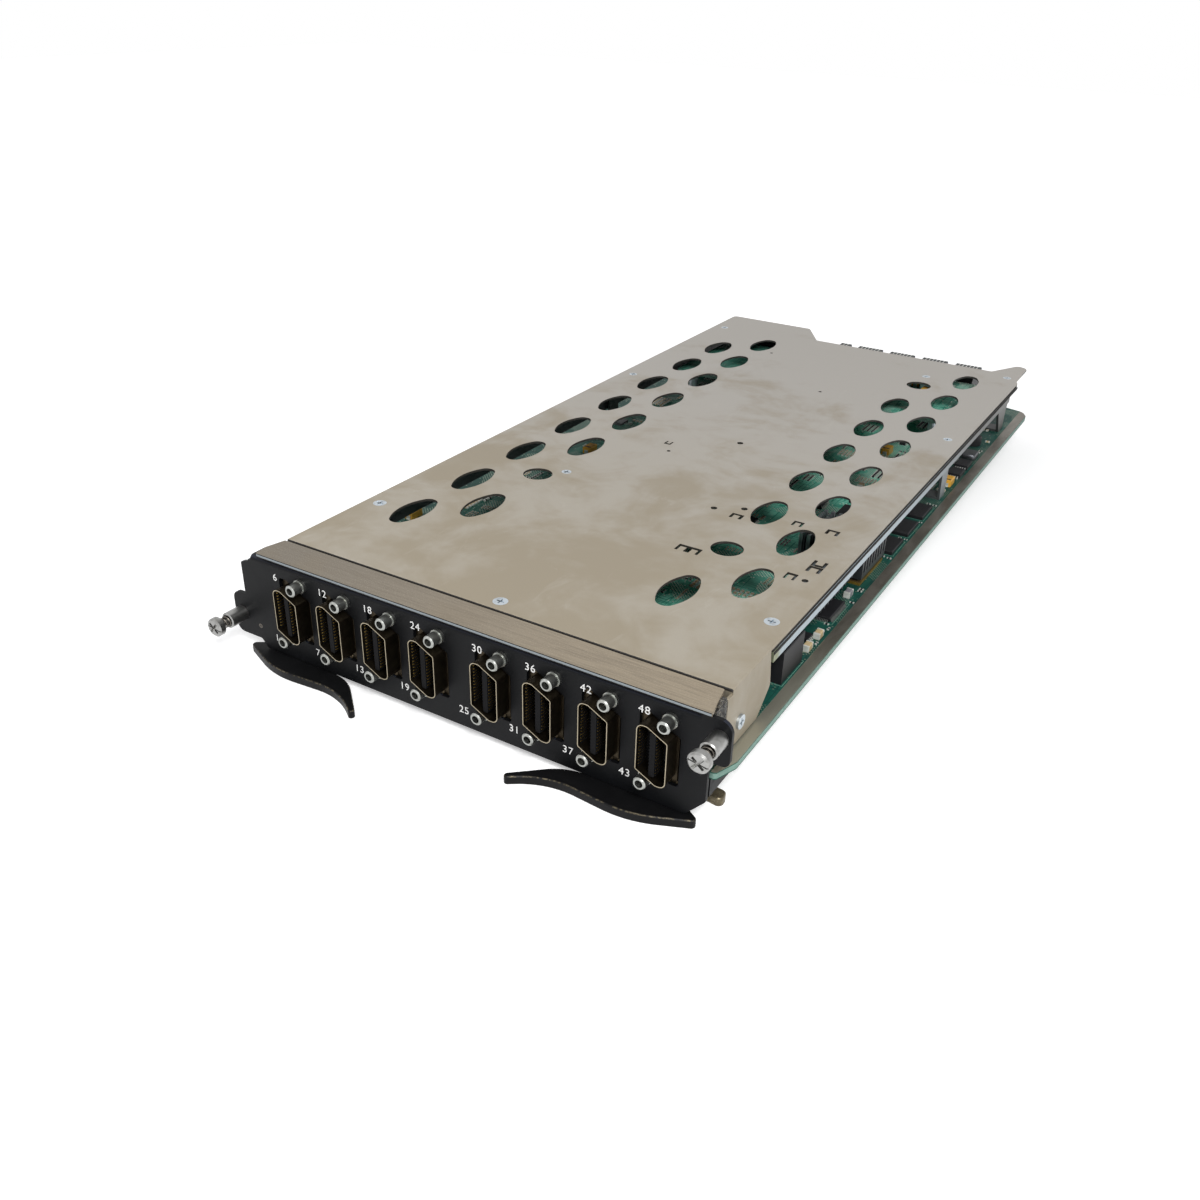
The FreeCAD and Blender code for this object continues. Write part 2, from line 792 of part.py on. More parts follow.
def rail_leg(corners, x_out):
    """A leg cut from the rail's sheet with a foot turned in on the board."""
    leg = rounded_face(corners, sideways).extrude(Vector(rail_sheet, 0, 0))
    leg.translate(Vector(x_out - rail_sheet, 0, 0))
    low = [y for y, z, radius in corners if z == board_top]
    foot = box(x_out - foot_reach, x_out, min(low), max(low), board_top, board_top + rail_sheet)
    return [leg, foot]


def side_rail(side):
    """Folded rail under a long edge of the cover, stepped for the gasket, on two legs."""
    t = rail_sheet
    out = cover_right
    step = out - rail_step
    inner = out - rail_flange_reach
    low = rail_low if side > 0 else left_rail_low
    section = rounded_face([
        (inner, cover_under, 0), (step, cover_under, 0.3), (step, rail_shelf, 0),
        (out, rail_shelf, 0.6), (out, low, 0), (out - t, low, 0),
        (out - t, rail_shelf - t, 0.2), (step - t, rail_shelf - t, 0.3),
        (step - t, cover_under - t, 0.2), (inner, cover_under - t, 0),
    ], upright).extrude(Vector(0, rail_back - rail_front, 0))
    section.translate(Vector(0, rail_front, 0))
    web = rail_shelf - t
    lean = low - 7.0
    middle = [(251.0, web, 0), (254.0, board_top, 0), (262.0, board_top, 0), (262.0, web, 0)]
    rear = [
        (leg_back - 19.0, web, 0), (leg_back - 17.0, lean + 2.0, 3.0), (leg_back - 8.5, board_top, 0),
        (leg_back, board_top, 0), (leg_back, lean, 1.0), (leg_back + 3.0, lean + 4.0, 1.0),
        (leg_back + 2.0, web, 0),
    ]
    end = rail_back + 1.0
    rail = joined([section] + rail_leg(middle, step) + rail_leg(rear, step))
    rail = rail.cut([
        box(out - t, out + 1, web_back, end, 0, web),
        box(step - t, out + 1, step_back, end, 0, cover_under - t),
    ])
    if side < 0:
        rail = mirrored(rail, (cover_left + cover_right) / 2.0)
    shanks = [post(cover_screw_shank + fit_gap, x, y, rail_low, card_height) for x, y in rail_screws(side)]
    return rail.cut(shanks)


def cover_gasket(side):
    """Dark strip in the rail's step, under the cover's edge."""
    x0 = cover_right - rail_step
    strip = box(x0, cover_right - 0.4, rail_front, step_back, rail_shelf, cover_under)
    if side < 0:
        strip = mirrored(strip, (cover_left + cover_right) / 2.0)
    return strip


def main_board():
    w = board_half
    board = rounded_face([
        (-w + 3.2, board_front, 1.5), (w - 3.2, board_front, 1.5), (w, board_front + 9.0, 4.0),
        (w, card_length - 9.0, 0), (w - 3.0, card_length - 3.0, 6.0),
        (w - 14.0, card_length, 2.0), (-w + 14.0, card_length, 2.0), (-w + 3.0, card_length - 3.0, 6.0),
        (-w, card_length - 9.0, 0), (-w, board_front + 9.0, 4.0),
    ], flat).extrude(Vector(0, 0, board_thick))
    board.translate(Vector(0, 0, board_under))
    holes = [post(tooling_radius, x, y, board_under - 1, board_top + 1) for x, y in tooling_holes()]
    return board.cut(holes)


def tooling_holes():
    """Plain holes near the board's corners."""
    reach = board_half - tooling_inset
    return [(x, y) for x in (-reach, reach) for y in (tooling_front, tooling_back)]


def backplane_connector(x1, columns):
    """Slotted module at the rear edge, combed along its top and open at its rear face."""
    pitch = backplane_column
    x0 = x1 - pitch * columns
    body = rounded_face([
        (backplane_front, board_top, 0), (card_length, board_top, 0),
        (card_length, board_top - 3.5, 0), (backplane_back, board_top - 3.5, 0.4),
        (backplane_back, backplane_top, 0.6), (backplane_front + 4.0, backplane_top, 1.0),
        (backplane_front, backplane_top - 5.0, 1.0),
    ], sideways).extrude(Vector(x1 - x0, 0, 0))
    body.translate(Vector(x0, 0, 0))
    slots = []
    for i in range(columns):
        middle = x0 + pitch * (i + 0.5)
        slots.append(box(middle - 0.45, middle + 0.45, backplane_back - 5.0, backplane_back + 1,
                         board_top + 1.5, backplane_top - 2.6))
    for i in range(1, columns):
        middle = x0 + pitch * i
        slots.append(box(middle - 0.4, middle + 0.4, backplane_front - 1, backplane_back + 1,
                         backplane_top - 1.3, backplane_top + 1))
    return body.cut(slots)


def package(x0, x1, y0, y1, height):
    """A moulded chip body with a bevelled top edge."""
    body = box(x0, x1, y0, y1, board_top, board_top + height)
    top = [e for e in body.Edges if e.BoundBox.ZMin > board_top + height - 1e-6]
    return body.makeChamfer(min(0.3, height / 4.0), top)


def power_module():
    return package(85.0, 99.4, 61.0, 80.0, 13.2)


def asic():
    """Ball grid package: thin substrate with a raised lid."""
    half = asic_across / 2.0
    rim = half - 1.6
    base = box(asic_x - half, asic_x + half, asic_y - half, asic_y + half, board_top, board_top + 1.2)
    lid = box(asic_x - rim, asic_x + rim, asic_y - rim, asic_y + rim, board_top, board_top + package_thick)
    return joined([base, lid])


def heat_sink_rear():
    """Pin-fin sink on the large package by the open edge."""
    z = board_top + package_thick
    x0 = asic_x - sink_across / 2.0
    y0 = asic_y - sink_across / 2.0
    pitch = (sink_across - sink_fin) / (sink_rows - 1)
    base = box(x0, x0 + sink_across, y0, y0 + sink_across, z, z + 2.4)
    fins = []
    for i in range(sink_rows):
        y = y0 + pitch * i
        fins.append(box(x0, x0 + sink_across, y, y + sink_fin, z + 2.0, sink_top))
    cross_cuts = []
    for i in range(sink_rows - 1):
        x = x0 + sink_fin + pitch * i
        cut = box(x, x + pitch - sink_fin, y0 - 1, y0 + sink_across + 1, z + 4.0, sink_top + 1)
        cross_cuts.append(cut)
    return joined([base] + fins).cut(cross_cuts)


def heat_sink_front():
    """Sink on the inner part of the bus chip, its fins reaching out past its base."""
    z = board_top + bus_chip_thick
    foot = comb_out - 4.0
    last = comb_front + (comb_count - 1) * comb_pitch
    pieces = [box(comb_in, foot, comb_front, last + comb_fin, z, z + 2.0)]
    fin = rounded_face([
        (comb_in, z + 1.0, 0), (foot, z + 1.0, 0), (foot, z + 4.4, 1.2), (comb_out, z + 5.4, 0.5),
        (comb_out, sink_top, 0), (comb_in, sink_top, 0),
    ], upright).extrude(Vector(0, comb_fin, 0))
    for i in range(comb_count):
        pieces.append(fin.translated(Vector(0, comb_front + comb_pitch * i, 0)))
    return joined(pieces)


def memory_chips():
    """Three flat packages by the open edge and three more in line further in."""
    chips = []
    for i in range(3):
        y = memory_first + memory_pitch * i
        for x1 in (chip_edge, chip_edge - memory_pitch):
            chips.append(package(x1 - memory_across, x1, y, y + memory_along, low_chip_thick))
    return Part.makeCompound(chips)


def logic_chips():
    """Small-outline packages in a row by each long edge and across the middle."""
    count = int((rail_back - 46.0 - 115.0) / 42.0) + 1
    left_row = [(-88.0, 110.0 + 42.0 * i) for i in range(count)]
    right_row = [(88.0, 268.0 + 20.5 * i) for i in range(3)]
    inner_row = [(52.0 - 40.0 * i, 216.0 - 24.0 * i) for i in range(3)]
    return small_blocks(left_row + right_row + inner_row, logic_size)


def phy_chips():
    """Six large flat packages across the board behind the sockets."""
    chips = []
    for i in range(6):
        x0 = row_mid + flat_chip_pitch * (i - 3) - flat_chip / 2.0
        y0 = flat_chip_front
        chips.append(package(x0, x0 + flat_chip, y0, y0 + flat_chip, low_chip_thick))
    return Part.makeCompound(chips)


def small_blocks(places, size):
    """Like packages, each standing on the board about its own middle."""
    across, along, height = size
    blocks = []
    for x, y in places:
        blocks.append(package(x - across / 2.0, x + across / 2.0, y - along / 2.0, y + along / 2.0, height))
    return Part.makeCompound(blocks)


def tantalum_capacitors():
    """Moulded yellow capacitors, a few by each rail and one near the rear edge."""
    left_row = [(-98.0, 98.0), (-74.0, 212.0), (-97.0, card_length - 44.0)]
    right_row = [(84.0, 330.0), (96.5, 276.5), (57.0, 300.0)]
    blocks = small_blocks(left_row + right_row, tantalum_size)
    raised = small_blocks([(48.0, rear_board_back - 20.0), (22.0, rear_board_back - 34.0)], tantalum_size)
    return Part.makeCompound([blocks, raised.translated(Vector(0, 0, rear_board_top - board_top))])


def ceramic_capacitors():
    """Stacked ceramic capacitors behind the power module and about the board."""
    right_row = [(98.0, 89.0), (98.0, 99.8), (96.0, 137.2)]
    inner = [(-60.0, 110.0), (-48.0, 140.0), (62.0, 246.0)]
    return small_blocks(right_row + inner, ceramic_size)


def rear_board():
    """Small board carried over the main one, under the rear vents."""
    half = rear_board_half
    front = rear_board_front
    back = rear_board_back
    board = rounded_face([
        (-half, front, 2.0), (half, front, 2.0), (half, back, 2.0), (-half, back, 2.0),
    ], flat).extrude(Vector(0, 0, rear_board_thick))
    board.translate(Vector(0, 0, rear_board_top - rear_board_thick))
    x, y = post_screws[1]
    return board.cut(post(3.2 + clear_gap, x, y, board_top, cover_under))


def rear_board_posts():
    """Plain round posts between the two boards."""
    under = rear_board_top - rear_board_thick
    reach = rear_board_half - 8.0
    rows = (rear_board_front + 8.0, rear_board_back - 8.0)
    return Part.makeCompound([post(2.5, x, y, board_top, under) for x in (-reach, reach) for y in rows])


def choke():
    """Round shielded choke near the rear leg of the right rail."""
    top = board_top + choke_height
    body = post(choke_radius, 91.0, 340.0, board_top, top)
    rim = [e for e in body.Edges if e.BoundBox.ZMin > top - 0.1]
    return body.makeChamfer(0.6, rim)


def bus_chip():
    out = bus_chip_out
    front = bus_chip_front
    return package(out - bus_chip_across, out, front, front + bus_chip_across, bus_chip_thick)


def all_pieces():
    """Every node's name with its shape, in the drawing's own frame."""
    pieces = {
        "faceplate": faceplate(),
        "top_bracket": top_bracket(),
        "lower_bracket": lower_bracket(),
        "top_gasket": top_gasket(),
        "end_gasket": end_gasket(),
        "lever_left": lever(-1),
        "lever_right": lever(1),
        "lever_pivots": lever_pivots(),
        "top_cover": top_cover(),
        "cover_screws": cover_screws(),
        "flange_screw": flange_screw(),
        "standoffs": Part.makeCompound([standoff(x, y) for x, y in post_screws]),
        "main_board": main_board(),
        "power_module": power_module(),
        "asic": asic(),
        "heat_sink_front": heat_sink_front(),
        "heat_sink_rear": heat_sink_rear(),
        "bus_chip": bus_chip(),
        "memory_chips": memory_chips(),
        "logic_chips": logic_chips(),
        "phy_chips": phy_chips(),
        "tantalum_capacitors": tantalum_capacitors(),
        "ceramic_capacitors": ceramic_capacitors(),
        "choke": choke(),
        "rear_board": rear_board(),
        "rear_board_posts": rear_board_posts(),
    }
    for name, x, z in captive_places():
        pieces["sleeve_" + name] = sleeve(x, z)
        pieces["captive_screw_" + name] = captive_screw(x, z)
        pieces["screw_spring_" + name] = screw_spring(x, z)
    jackscrews = []
    for i, x in enumerate(socket_places()):
        pieces["connector_shell_%d" % (i + 1)] = connector_shell(x)
        pieces["connector_insert_%d" % (i + 1)] = connector_insert(x)
        jackscrews += [jackscrew(px, pz) for px, pz in jack_places(x)]
    pieces["jackscrews"] = Part.makeCompound(jackscrews)
    for name, side in (("left", -1), ("right", 1)):
        pieces["side_rail_" + name] = side_rail(side)
        pieces["cover_gasket_" + name] = cover_gasket(side)
    for i, columns in enumerate(backplane_columns):
        x = backplane_first + backplane_pitch * i
        pieces["backplane_connector_%d" % (i + 1)] = backplane_connector(x, columns)
    return pieces


def build():
    """Write each piece, moved so that the origin lies under the middle of the card."""
    os.makedirs("parts", exist_ok=True)
    pieces = all_pieces()
    front = min(shape.BoundBox.YMin for shape in pieces.values())
    back = max(shape.BoundBox.YMax for shape in pieces.values())
    for name, shape in pieces.items():
        placed = shape.copy()
        placed.translate(Vector(0, -(front + back) / 2.0, 0))
        placed.exportStep("parts/" + name + ".step")


build()
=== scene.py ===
import json
import math
import random

import bmesh
import bpy
from mathutils import Matrix, Vector


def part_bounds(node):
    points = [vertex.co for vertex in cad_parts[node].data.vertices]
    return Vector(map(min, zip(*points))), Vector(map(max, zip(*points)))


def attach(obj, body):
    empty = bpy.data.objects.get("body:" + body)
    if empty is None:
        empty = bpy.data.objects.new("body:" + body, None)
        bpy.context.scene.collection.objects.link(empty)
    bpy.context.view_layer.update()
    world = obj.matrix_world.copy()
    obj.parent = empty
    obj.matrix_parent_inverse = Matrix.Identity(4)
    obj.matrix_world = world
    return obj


# The finishes and small pieces of a switch line card. Sizes are in millimetres in the card's
# own drawing frame: X along the faceplate, Y back from its front face, Z up from the levers.
MM = 0.001

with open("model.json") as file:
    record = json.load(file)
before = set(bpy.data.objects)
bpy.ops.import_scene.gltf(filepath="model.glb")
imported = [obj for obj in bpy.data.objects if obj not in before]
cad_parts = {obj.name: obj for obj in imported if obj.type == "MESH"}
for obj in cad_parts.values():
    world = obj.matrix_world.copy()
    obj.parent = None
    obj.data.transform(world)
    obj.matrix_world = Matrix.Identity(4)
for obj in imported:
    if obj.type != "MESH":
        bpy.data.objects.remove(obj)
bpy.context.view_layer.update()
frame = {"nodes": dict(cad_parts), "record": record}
record = frame["record"]
nodes = frame["nodes"]

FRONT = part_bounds("faceplate")[0].y
BOARD_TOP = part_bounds("main_board")[1].z / MM
COVER_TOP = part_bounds("top_cover")[1].z / MM
BOARD_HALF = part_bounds("main_board")[1].x / MM
SOCKETS = range(1, 9)
MODULES = range(1, 6)
WHITE = (1, 1, 1, 1)
BLACK = (0, 0, 0, 1)

# The camera, fitted to straight edges of the card in the photograph: degrees and millimetres
camera_azimuth = 30.70
camera_elevation = 29.13
camera_roll = 1.457
camera_lens = 33.564
camera_film = 36.0
camera_distance = 444.0
camera_target = (15.27, -125.31, 23.35)

# Port numbers over and under each socket, and the middle of each
upper_ports = (
    (6, -88.1, 38.1), (12, -64.1, 38.5), (18, -42.1, 38.6), (24, -20.0, 38.8),
    (30, 7.0, 38.6), (36, 29.0, 38.8), (42, 50.9, 38.5), (48, 72.6, 38.6),
)
lower_ports = (
    (1, -91.2, 10.5), (7, -69.6, 11.0), (13, -48.6, 11.0), (19, -26.8, 11.1),
    (25, 0.4, 11.0), (31, 22.1, 11.2), (37, 44.2, 11.2), (43, 66.3, 11.4),
)
port_left_shift = 5.0
number_height = 3.0
number_thick = 0.06
number_spacing = 1.12
stroke_growth = 0.008
capital_share = 0.72

# Contacts in each socket: two rows on the tongue and two on the shell's inner walls
contact_count = 12
contact_pitch = 1.27
contact_width = 0.62
contact_leaf = ((0.0, 0.95), (0.22, 0.95), (0.22, -2.4), (0.40, -3.0), (0.22, -3.7), (0.0, -4.1))
contact_foot = 0.95
rib_width = 0.42
rib_rise = 0.45
rib_front = -4.3
tongue_face = 1.0
wall_face = 5.22
wall_row_shift = 1.4
flange_face = 1.5

# Rear modules: columns, plates in the comb, and blades in the slots behind
module_pitch = 2.09
plate_half = 0.24
blade_half = 0.14
blade_rows = 8
blade_pitch = 1.85
blade_height = 0.9
board_thick = 2.8

# Chip parts: length and width, and the shares and overlaps of body and plated ends
chip_sizes = ((1.6, 0.8), (2.0, 1.25), (1.2, 0.6))
chip_gap = 0.9
chip_rise = 0.55
plated_share = 0.24
plated_reach = 0.12
plated_skin = 0.03

# Seeded rows and packages on the board: how many are tried, and the room that each takes
part_seed = 11
row_tries = 900
row_plot = 6.0
package_tries = 90
package_halves = ((1.95, 2.45), (1.5, 1.5), (2.6, 3.9))
package_pitch = 1.1

# Loose threads of the gasket cloth, and the uneven lips of the two long gaskets
thread_seed = 23
thread_count = 70
thread_steps = 7
thread_step = 0.55
thread_radius = 0.07
lip_seed = 5
lip_steps = 90

# Sheet of the bent pins, and the strip under the cover's rear edge
pin_sheet = 0.18
stiffener_left = -89.6
stiffener_width = 50.6

# Width of the printed line round a package, and how far it stands up
line_width = 0.16
line_thick = 0.03

# Specular level of black paint
paint_gloss = 0.13

# Edges bent more than this, in radians, are bevelled; over this, in degrees, they stay sharp
bevel_angle = 0.6
sharp_angle = 35

# The floor glows this much near the card, and rises to white between these distances
floor_glow = 0.42
glow_rise = (230.0, 620.0)
floor_reach = 3.0

# Light from all round, and the soft square lamps: name, place, width and power in watts
world_light = (0.36, 0.36, 0.37, 1)
lamps = (
    ("key", (-420.0, -260.0, 620.0), 700.0, 1.6),
    ("fill", (620.0, -420.0, 420.0), 600.0, 0.6),
    ("front", (400.0, -580.0, 600.0), 260.0, 6.3),
)


def at(x, y, z):
    """A point of the drawing in metres, in the frame."""
    return Vector((x * MM, FRONT + y * MM, z * MM))


def drawn(point):
    """A point of the frame, back in the drawing's millimetres."""
    return Vector((point.x / MM, (point.y - FRONT) / MM, point.z / MM))


def rgb(red, green, blue):
    """A colour as the eye reads it, 0 to 255, turned into the linear values of a shader."""
    linear = []
    for value in (red, green, blue):
        share = value / 255.0
        linear.append(share / 12.92 if share <= 0.04045 else ((share + 0.055) / 1.055) ** 2.4)
    return (*linear, 1.0)


class Signal:
    """A shader socket that takes part in sums."""

    def __init__(self, graph, socket):
        self.graph = graph
        self.socket = socket

    def maths(self, operation, first, second):
        return self.graph.node("ShaderNodeMath", {"operation": operation}, {0: first, 1: second})

    def __add__(self, other):
        return self.maths("ADD", self, other)

    __radd__ = __add__

    def __sub__(self, other):
        return self.maths("SUBTRACT", self, other)

    def __rsub__(self, other):
        return self.maths("SUBTRACT", other, self)

    def __mul__(self, other):
        return self.maths("MULTIPLY", self, other)

    __rmul__ = __mul__

    def __gt__(self, other):
        return self.maths("GREATER_THAN", self, other)

    def __lt__(self, other):
        return self.maths("LESS_THAN", self, other)

    def __abs__(self):
        return self.maths("ABSOLUTE", self, 0.0)


class Graph:
    """A node tree, filled by one method."""

    def __init__(self, tree):
        self.tree = tree
        tree.nodes.clear()

    def node(self, kind, settings=None, inputs=None, output=0):
        made = self.tree.nodes.new(kind)
        for name, value in (settings or {}).items():
            if name == "stops":
                self.set_stops(made.color_ramp, value)
            else:
                setattr(made, name, value)
        for name, value in (inputs or {}).items():
            if isinstance(value, Signal):
                self.tree.links.new(value.socket, made.inputs[name])
            else:
                made.inputs[name].default_value = value
        return Signal(self, made.outputs[output]) if made.outputs else None

    def set_stops(self, ramp, stops):
        while len(ramp.elements) < len(stops):
            ramp.elements.new(0.5)
        for element, (place, color) in zip(ramp.elements, stops):
            element.position = place
            element.color = color

    def mix(self, share, first, second):
        """A colour between two, by a share from 0 to 1."""
        settings = {"data_type": "RGBA", "clamp_factor": True}
        return self.node("ShaderNodeMix", settings, {0: share, 6: first, 7: second}, 2)

    def most(self, first, second):
        return self.node("ShaderNodeMath", {"operation": "MAXIMUM"}, {0: first, 1: second})

    def smooth(self, value, low, high):
        """0 under low and 1 over high, with an even slope between."""
        inputs = {"Value": value, "From Min": low, "From Max": high}
        return self.node("ShaderNodeMapRange", {"interpolation_type": "SMOOTHSTEP"}, inputs)

    def seen_directly(self):
        """1 for rays from the camera, off metal or through glass."""
        seen = self.node("ShaderNodeLightPath", output="Is Camera Ray")
        for kind in ("Is Glossy Ray", "Is Transmission Ray"):
            seen = self.most(seen, self.node("ShaderNodeLightPath", output=kind))
        return seen


class Finish(Graph):
    """One material. Its textures take sizes in millimetres and follow the piece."""

    def __init__(self, name):
        self.material = bpy.data.materials.new(name)
        self.material.use_nodes = True
        super().__init__(self.material.node_tree)
        place = self.node("ShaderNodeTexCoord", output="Object")
        scale = {0: place, "Scale": 1.0 / MM}
        self.place = self.node("ShaderNodeVectorMath", {"operation": "SCALE"}, scale)
        self.x = self.node("ShaderNodeSeparateXYZ", inputs={0: self.place}, output="X")
        self.y = self.node("ShaderNodeSeparateXYZ", inputs={0: self.place}, output="Y") - FRONT / MM
        self.z = self.node("ShaderNodeSeparateXYZ", inputs={0: self.place}, output="Z")
        facing = self.node("ShaderNodeNewGeometry", output="True Normal")
        self.facing_up = self.node("ShaderNodeSeparateXYZ", inputs={0: facing}, output="Z")
        self.facing_back = self.node("ShaderNodeSeparateXYZ", inputs={0: facing}, output="Y")

    def stretched(self, stretch):
        inputs = {0: self.place, 1: stretch}
        return self.node("ShaderNodeVectorMath", {"operation": "MULTIPLY"}, inputs)

    def noise(self, size, detail=2.0, roughness=0.5, distortion=0.0, stretch=(1, 1, 1)):
        """Cloudy noise from 0 to 1 with blots of about this size."""
        inputs = {
            "Vector": self.stretched(stretch), "Scale": 1.0 / size, "Detail": detail,
            "Roughness": roughness, "Distortion": distortion,
        }
        return self.node("ShaderNodeTexNoise", inputs=inputs)

    def cells(self, vector, scale, randomness):
        """Distance to the nearest of many points, which stand in a grid at no randomness."""
        inputs = {"Vector": vector, "Scale": scale, "Randomness": randomness}
        return self.node("ShaderNodeTexVoronoi", inputs=inputs)

    def surface(self, color, roughness, metallic=0.0, relief=None, depth=0.1, **constant):
        """The finished surface; relief is raised by depth millimetres."""
        inputs = {"Base Color": color, "Roughness": roughness, "Metallic": metallic}
        for name, value in constant.items():
            inputs[name.replace("_", " ").title().replace("Ior", "IOR")] = value
        if relief is not None:
            bump = {"Height": relief, "Strength": 1.0, "Distance": depth * MM}
            inputs["Normal"] = self.node("ShaderNodeBump", inputs=bump)
        shader = self.node("ShaderNodeBsdfPrincipled", inputs=inputs)
        self.node("ShaderNodeOutputMaterial", inputs={"Surface": shader})
        return self.material


def stage_finish():
    """Pale floor: white where it is lit, and darker in the object's shadow."""
    finish = Finish("studio_floor")
    spread = finish.node("ShaderNodeVectorMath", {"operation": "LENGTH"}, {0: finish.place}, "Value")
    away = finish.smooth(spread, *glow_rise)
    near_glow = finish.mix(away, (floor_glow, floor_glow, floor_glow, 1), WHITE)
    glow = finish.mix(finish.seen_directly(), BLACK, near_glow)
    return finish.surface((0.8, 0.8, 0.8, 1), 0.9, emission_color=glow, emission_strength=1.0)


def cover_steel():
    """Passivated sheet: cloudy grey, brown bloom towards the front, faint handling marks; painted
    shade on its front edge, undersides, upright faces and vent walls.
    """
    finish = Finish("cover_steel")
    clouds = finish.noise(52.0, 4.0, 0.6, 0.6)
    blots = finish.noise(17.0, 3.0, 0.55, 0.4)
    bloom = finish.smooth(clouds * 0.75 + blots * 0.35 - finish.y * 0.0007, 0.34, 0.60)
    grey = finish.mix(finish.smooth(finish.y, 20.0, 300.0), rgb(167, 160, 147), rgb(170, 166, 160))
    color = finish.mix(bloom * 0.6, grey, rgb(142, 130, 107))
    wiped = finish.smooth(finish.noise(9.0, 4.0, 0.7, 1.2, (1.0, 0.35, 1.0)), 0.60, 0.72)
    color = finish.mix(wiped * 0.12, color, rgb(194, 190, 183))
    grain = finish.noise(0.5, 3.0, 0.6)
    color = finish.mix(grain * 0.2, color, rgb(128, 120, 106))
    # Painted shade: the cut front edge, the undersides, the upright faces and the walls of the vents
    # are darkened where shade falls on them.
    shaded_front_edge = (finish.y < 15.4) * (finish.facing_back < -0.5) * (finish.z > COVER_TOP - 1.2)
    under = finish.facing_up < -0.5
    shaded_upright = abs(finish.facing_up) < 0.4
    shaded_inside = (finish.x < 99.5) * (finish.x > -89.5) * (finish.z > COVER_TOP - 1.2)
    # Painted shade: upright faces are painted darker, then the shaded places are painted near black.
    color = finish.mix(shaded_upright * 0.35, color, rgb(126, 119, 105))
    dark = finish.most(shaded_front_edge, finish.most(under * 0.6, shaded_upright * shaded_inside * 0.95))
    color = finish.mix(dark, color, rgb(24, 22, 19))
    roughness = 0.50 + bloom * 0.10 + grain * 0.08
    return finish.surface(color, roughness, (1.0 - dark) * 0.6, grain, 0.006)


def tinned_strip():
    """Brushed sheet, drawn along its length, with a bright front edge, painted shade in the step
    behind it, and painted shade further back under the cover.
    """
    finish = Finish("tinned_strip")
    brushed = finish.noise(0.7, 4.0, 0.7, 0.0, (0.04, 1.0, 1.0))
    speck = finish.noise(0.5, 2.0, 0.6)
    cloud = finish.noise(30.0, 3.0, 0.6, 0.5)
    base = finish.mix(finish.smooth(finish.x, -95.0, 95.0), rgb(120, 113, 102), rgb(152, 140, 121))
    color = finish.mix(finish.smooth(brushed, 0.38, 0.66) * 0.5, base, rgb(112, 103, 90))
    color = finish.mix(finish.smooth(speck, 0.5, 0.75) * 0.25, color, rgb(200, 192, 176))
    color = finish.mix(finish.smooth(cloud, 0.5, 0.7) * 0.2, color, rgb(128, 116, 96))
    front = (finish.facing_back < -0.5) * (finish.y < 1.0) * (finish.z > COVER_TOP - 1.7)
    arris = front * finish.most(finish.z > COVER_TOP - 0.35, finish.z < COVER_TOP - 1.15)
    color = finish.mix(front, color, rgb(130, 137, 141))
    # Painted shade: the step behind the strip, between it and the cover, is painted near black.
    step = (finish.y > 12.6) * (finish.y < 18.0) * (finish.z < COVER_TOP - 0.4)
    color = finish.mix(finish.most(step, arris), color, rgb(26, 24, 22))
    # Painted shade: darker further back, under the cover.
    inner = finish.smooth(finish.y, 18.0, 24.0)
    color = finish.mix(inner * 0.4, color, rgb(90, 86, 78))
    return finish.surface(color, 0.44 + brushed * 0.12, 0.75 - step * 0.7, brushed, 0.010)


def black_plate():
    """Satin black powder coat with a fine orange-peel skin, a few pale rubs and a painted bluish
    highlight along the bend.
    """
    finish = Finish("black_plate")
    peel = finish.noise(0.9, 2.0, 0.5)
    dust = finish.smooth(finish.noise(14.0, 4.0, 0.7, 1.0), 0.50, 0.75)
    color = finish.mix(dust * 0.5, rgb(9, 10, 12), rgb(18, 19, 22))
    scratch = finish.noise(2.2, 2.0, 0.6, 0.0, (0.12, 1.0, 1.0))
    color = finish.mix(finish.smooth(scratch, 0.74, 0.80) * 0.3, color, rgb(64, 64, 66))
    # Painted highlight: a faint bluish sheen along the rounded bend.
    bend = finish.smooth(finish.facing_up, 0.35, 0.7) * (finish.facing_up < 0.95)
    color = finish.mix(bend * 0.35, color, rgb(50, 54, 68))
    return finish.surface(color, 0.46 + dust * 0.1, 0.0, peel, 0.015, specular_ior_level=paint_gloss)


def lever_paint():
    """Black paint worn to brown metal along the edges and on the hook."""
    finish = Finish("lever_paint")
    tilt = abs(finish.facing_up)
    chamfer = (tilt > 0.2) * (tilt < 0.97)
    chips = finish.smooth(finish.noise(1.6, 4.0, 0.7), 0.44, 0.60)
    hook = finish.smooth(abs(finish.x + 1.0), 93.5, 97.0) * finish.smooth(finish.y, 8.0, 12.0)
    worn = finish.most(chamfer * chips * 0.5, hook * (chips * 0.45 + 0.55))
    metal = finish.mix(finish.noise(3.0, 3.0), rgb(84, 76, 60), rgb(140, 130, 106))
    paint = finish.mix(finish.noise(5.0, 3.0, 0.6), rgb(7, 7, 8), rgb(17, 17, 18))
    color = finish.mix(worn, paint, metal)
    skin = finish.noise(0.6, 3.0, 0.6)
    roughness = 0.44 - worn * 0.05
    return finish.surface(color, roughness, worn * 0.7, skin, 0.025, specular_ior_level=paint_gloss)


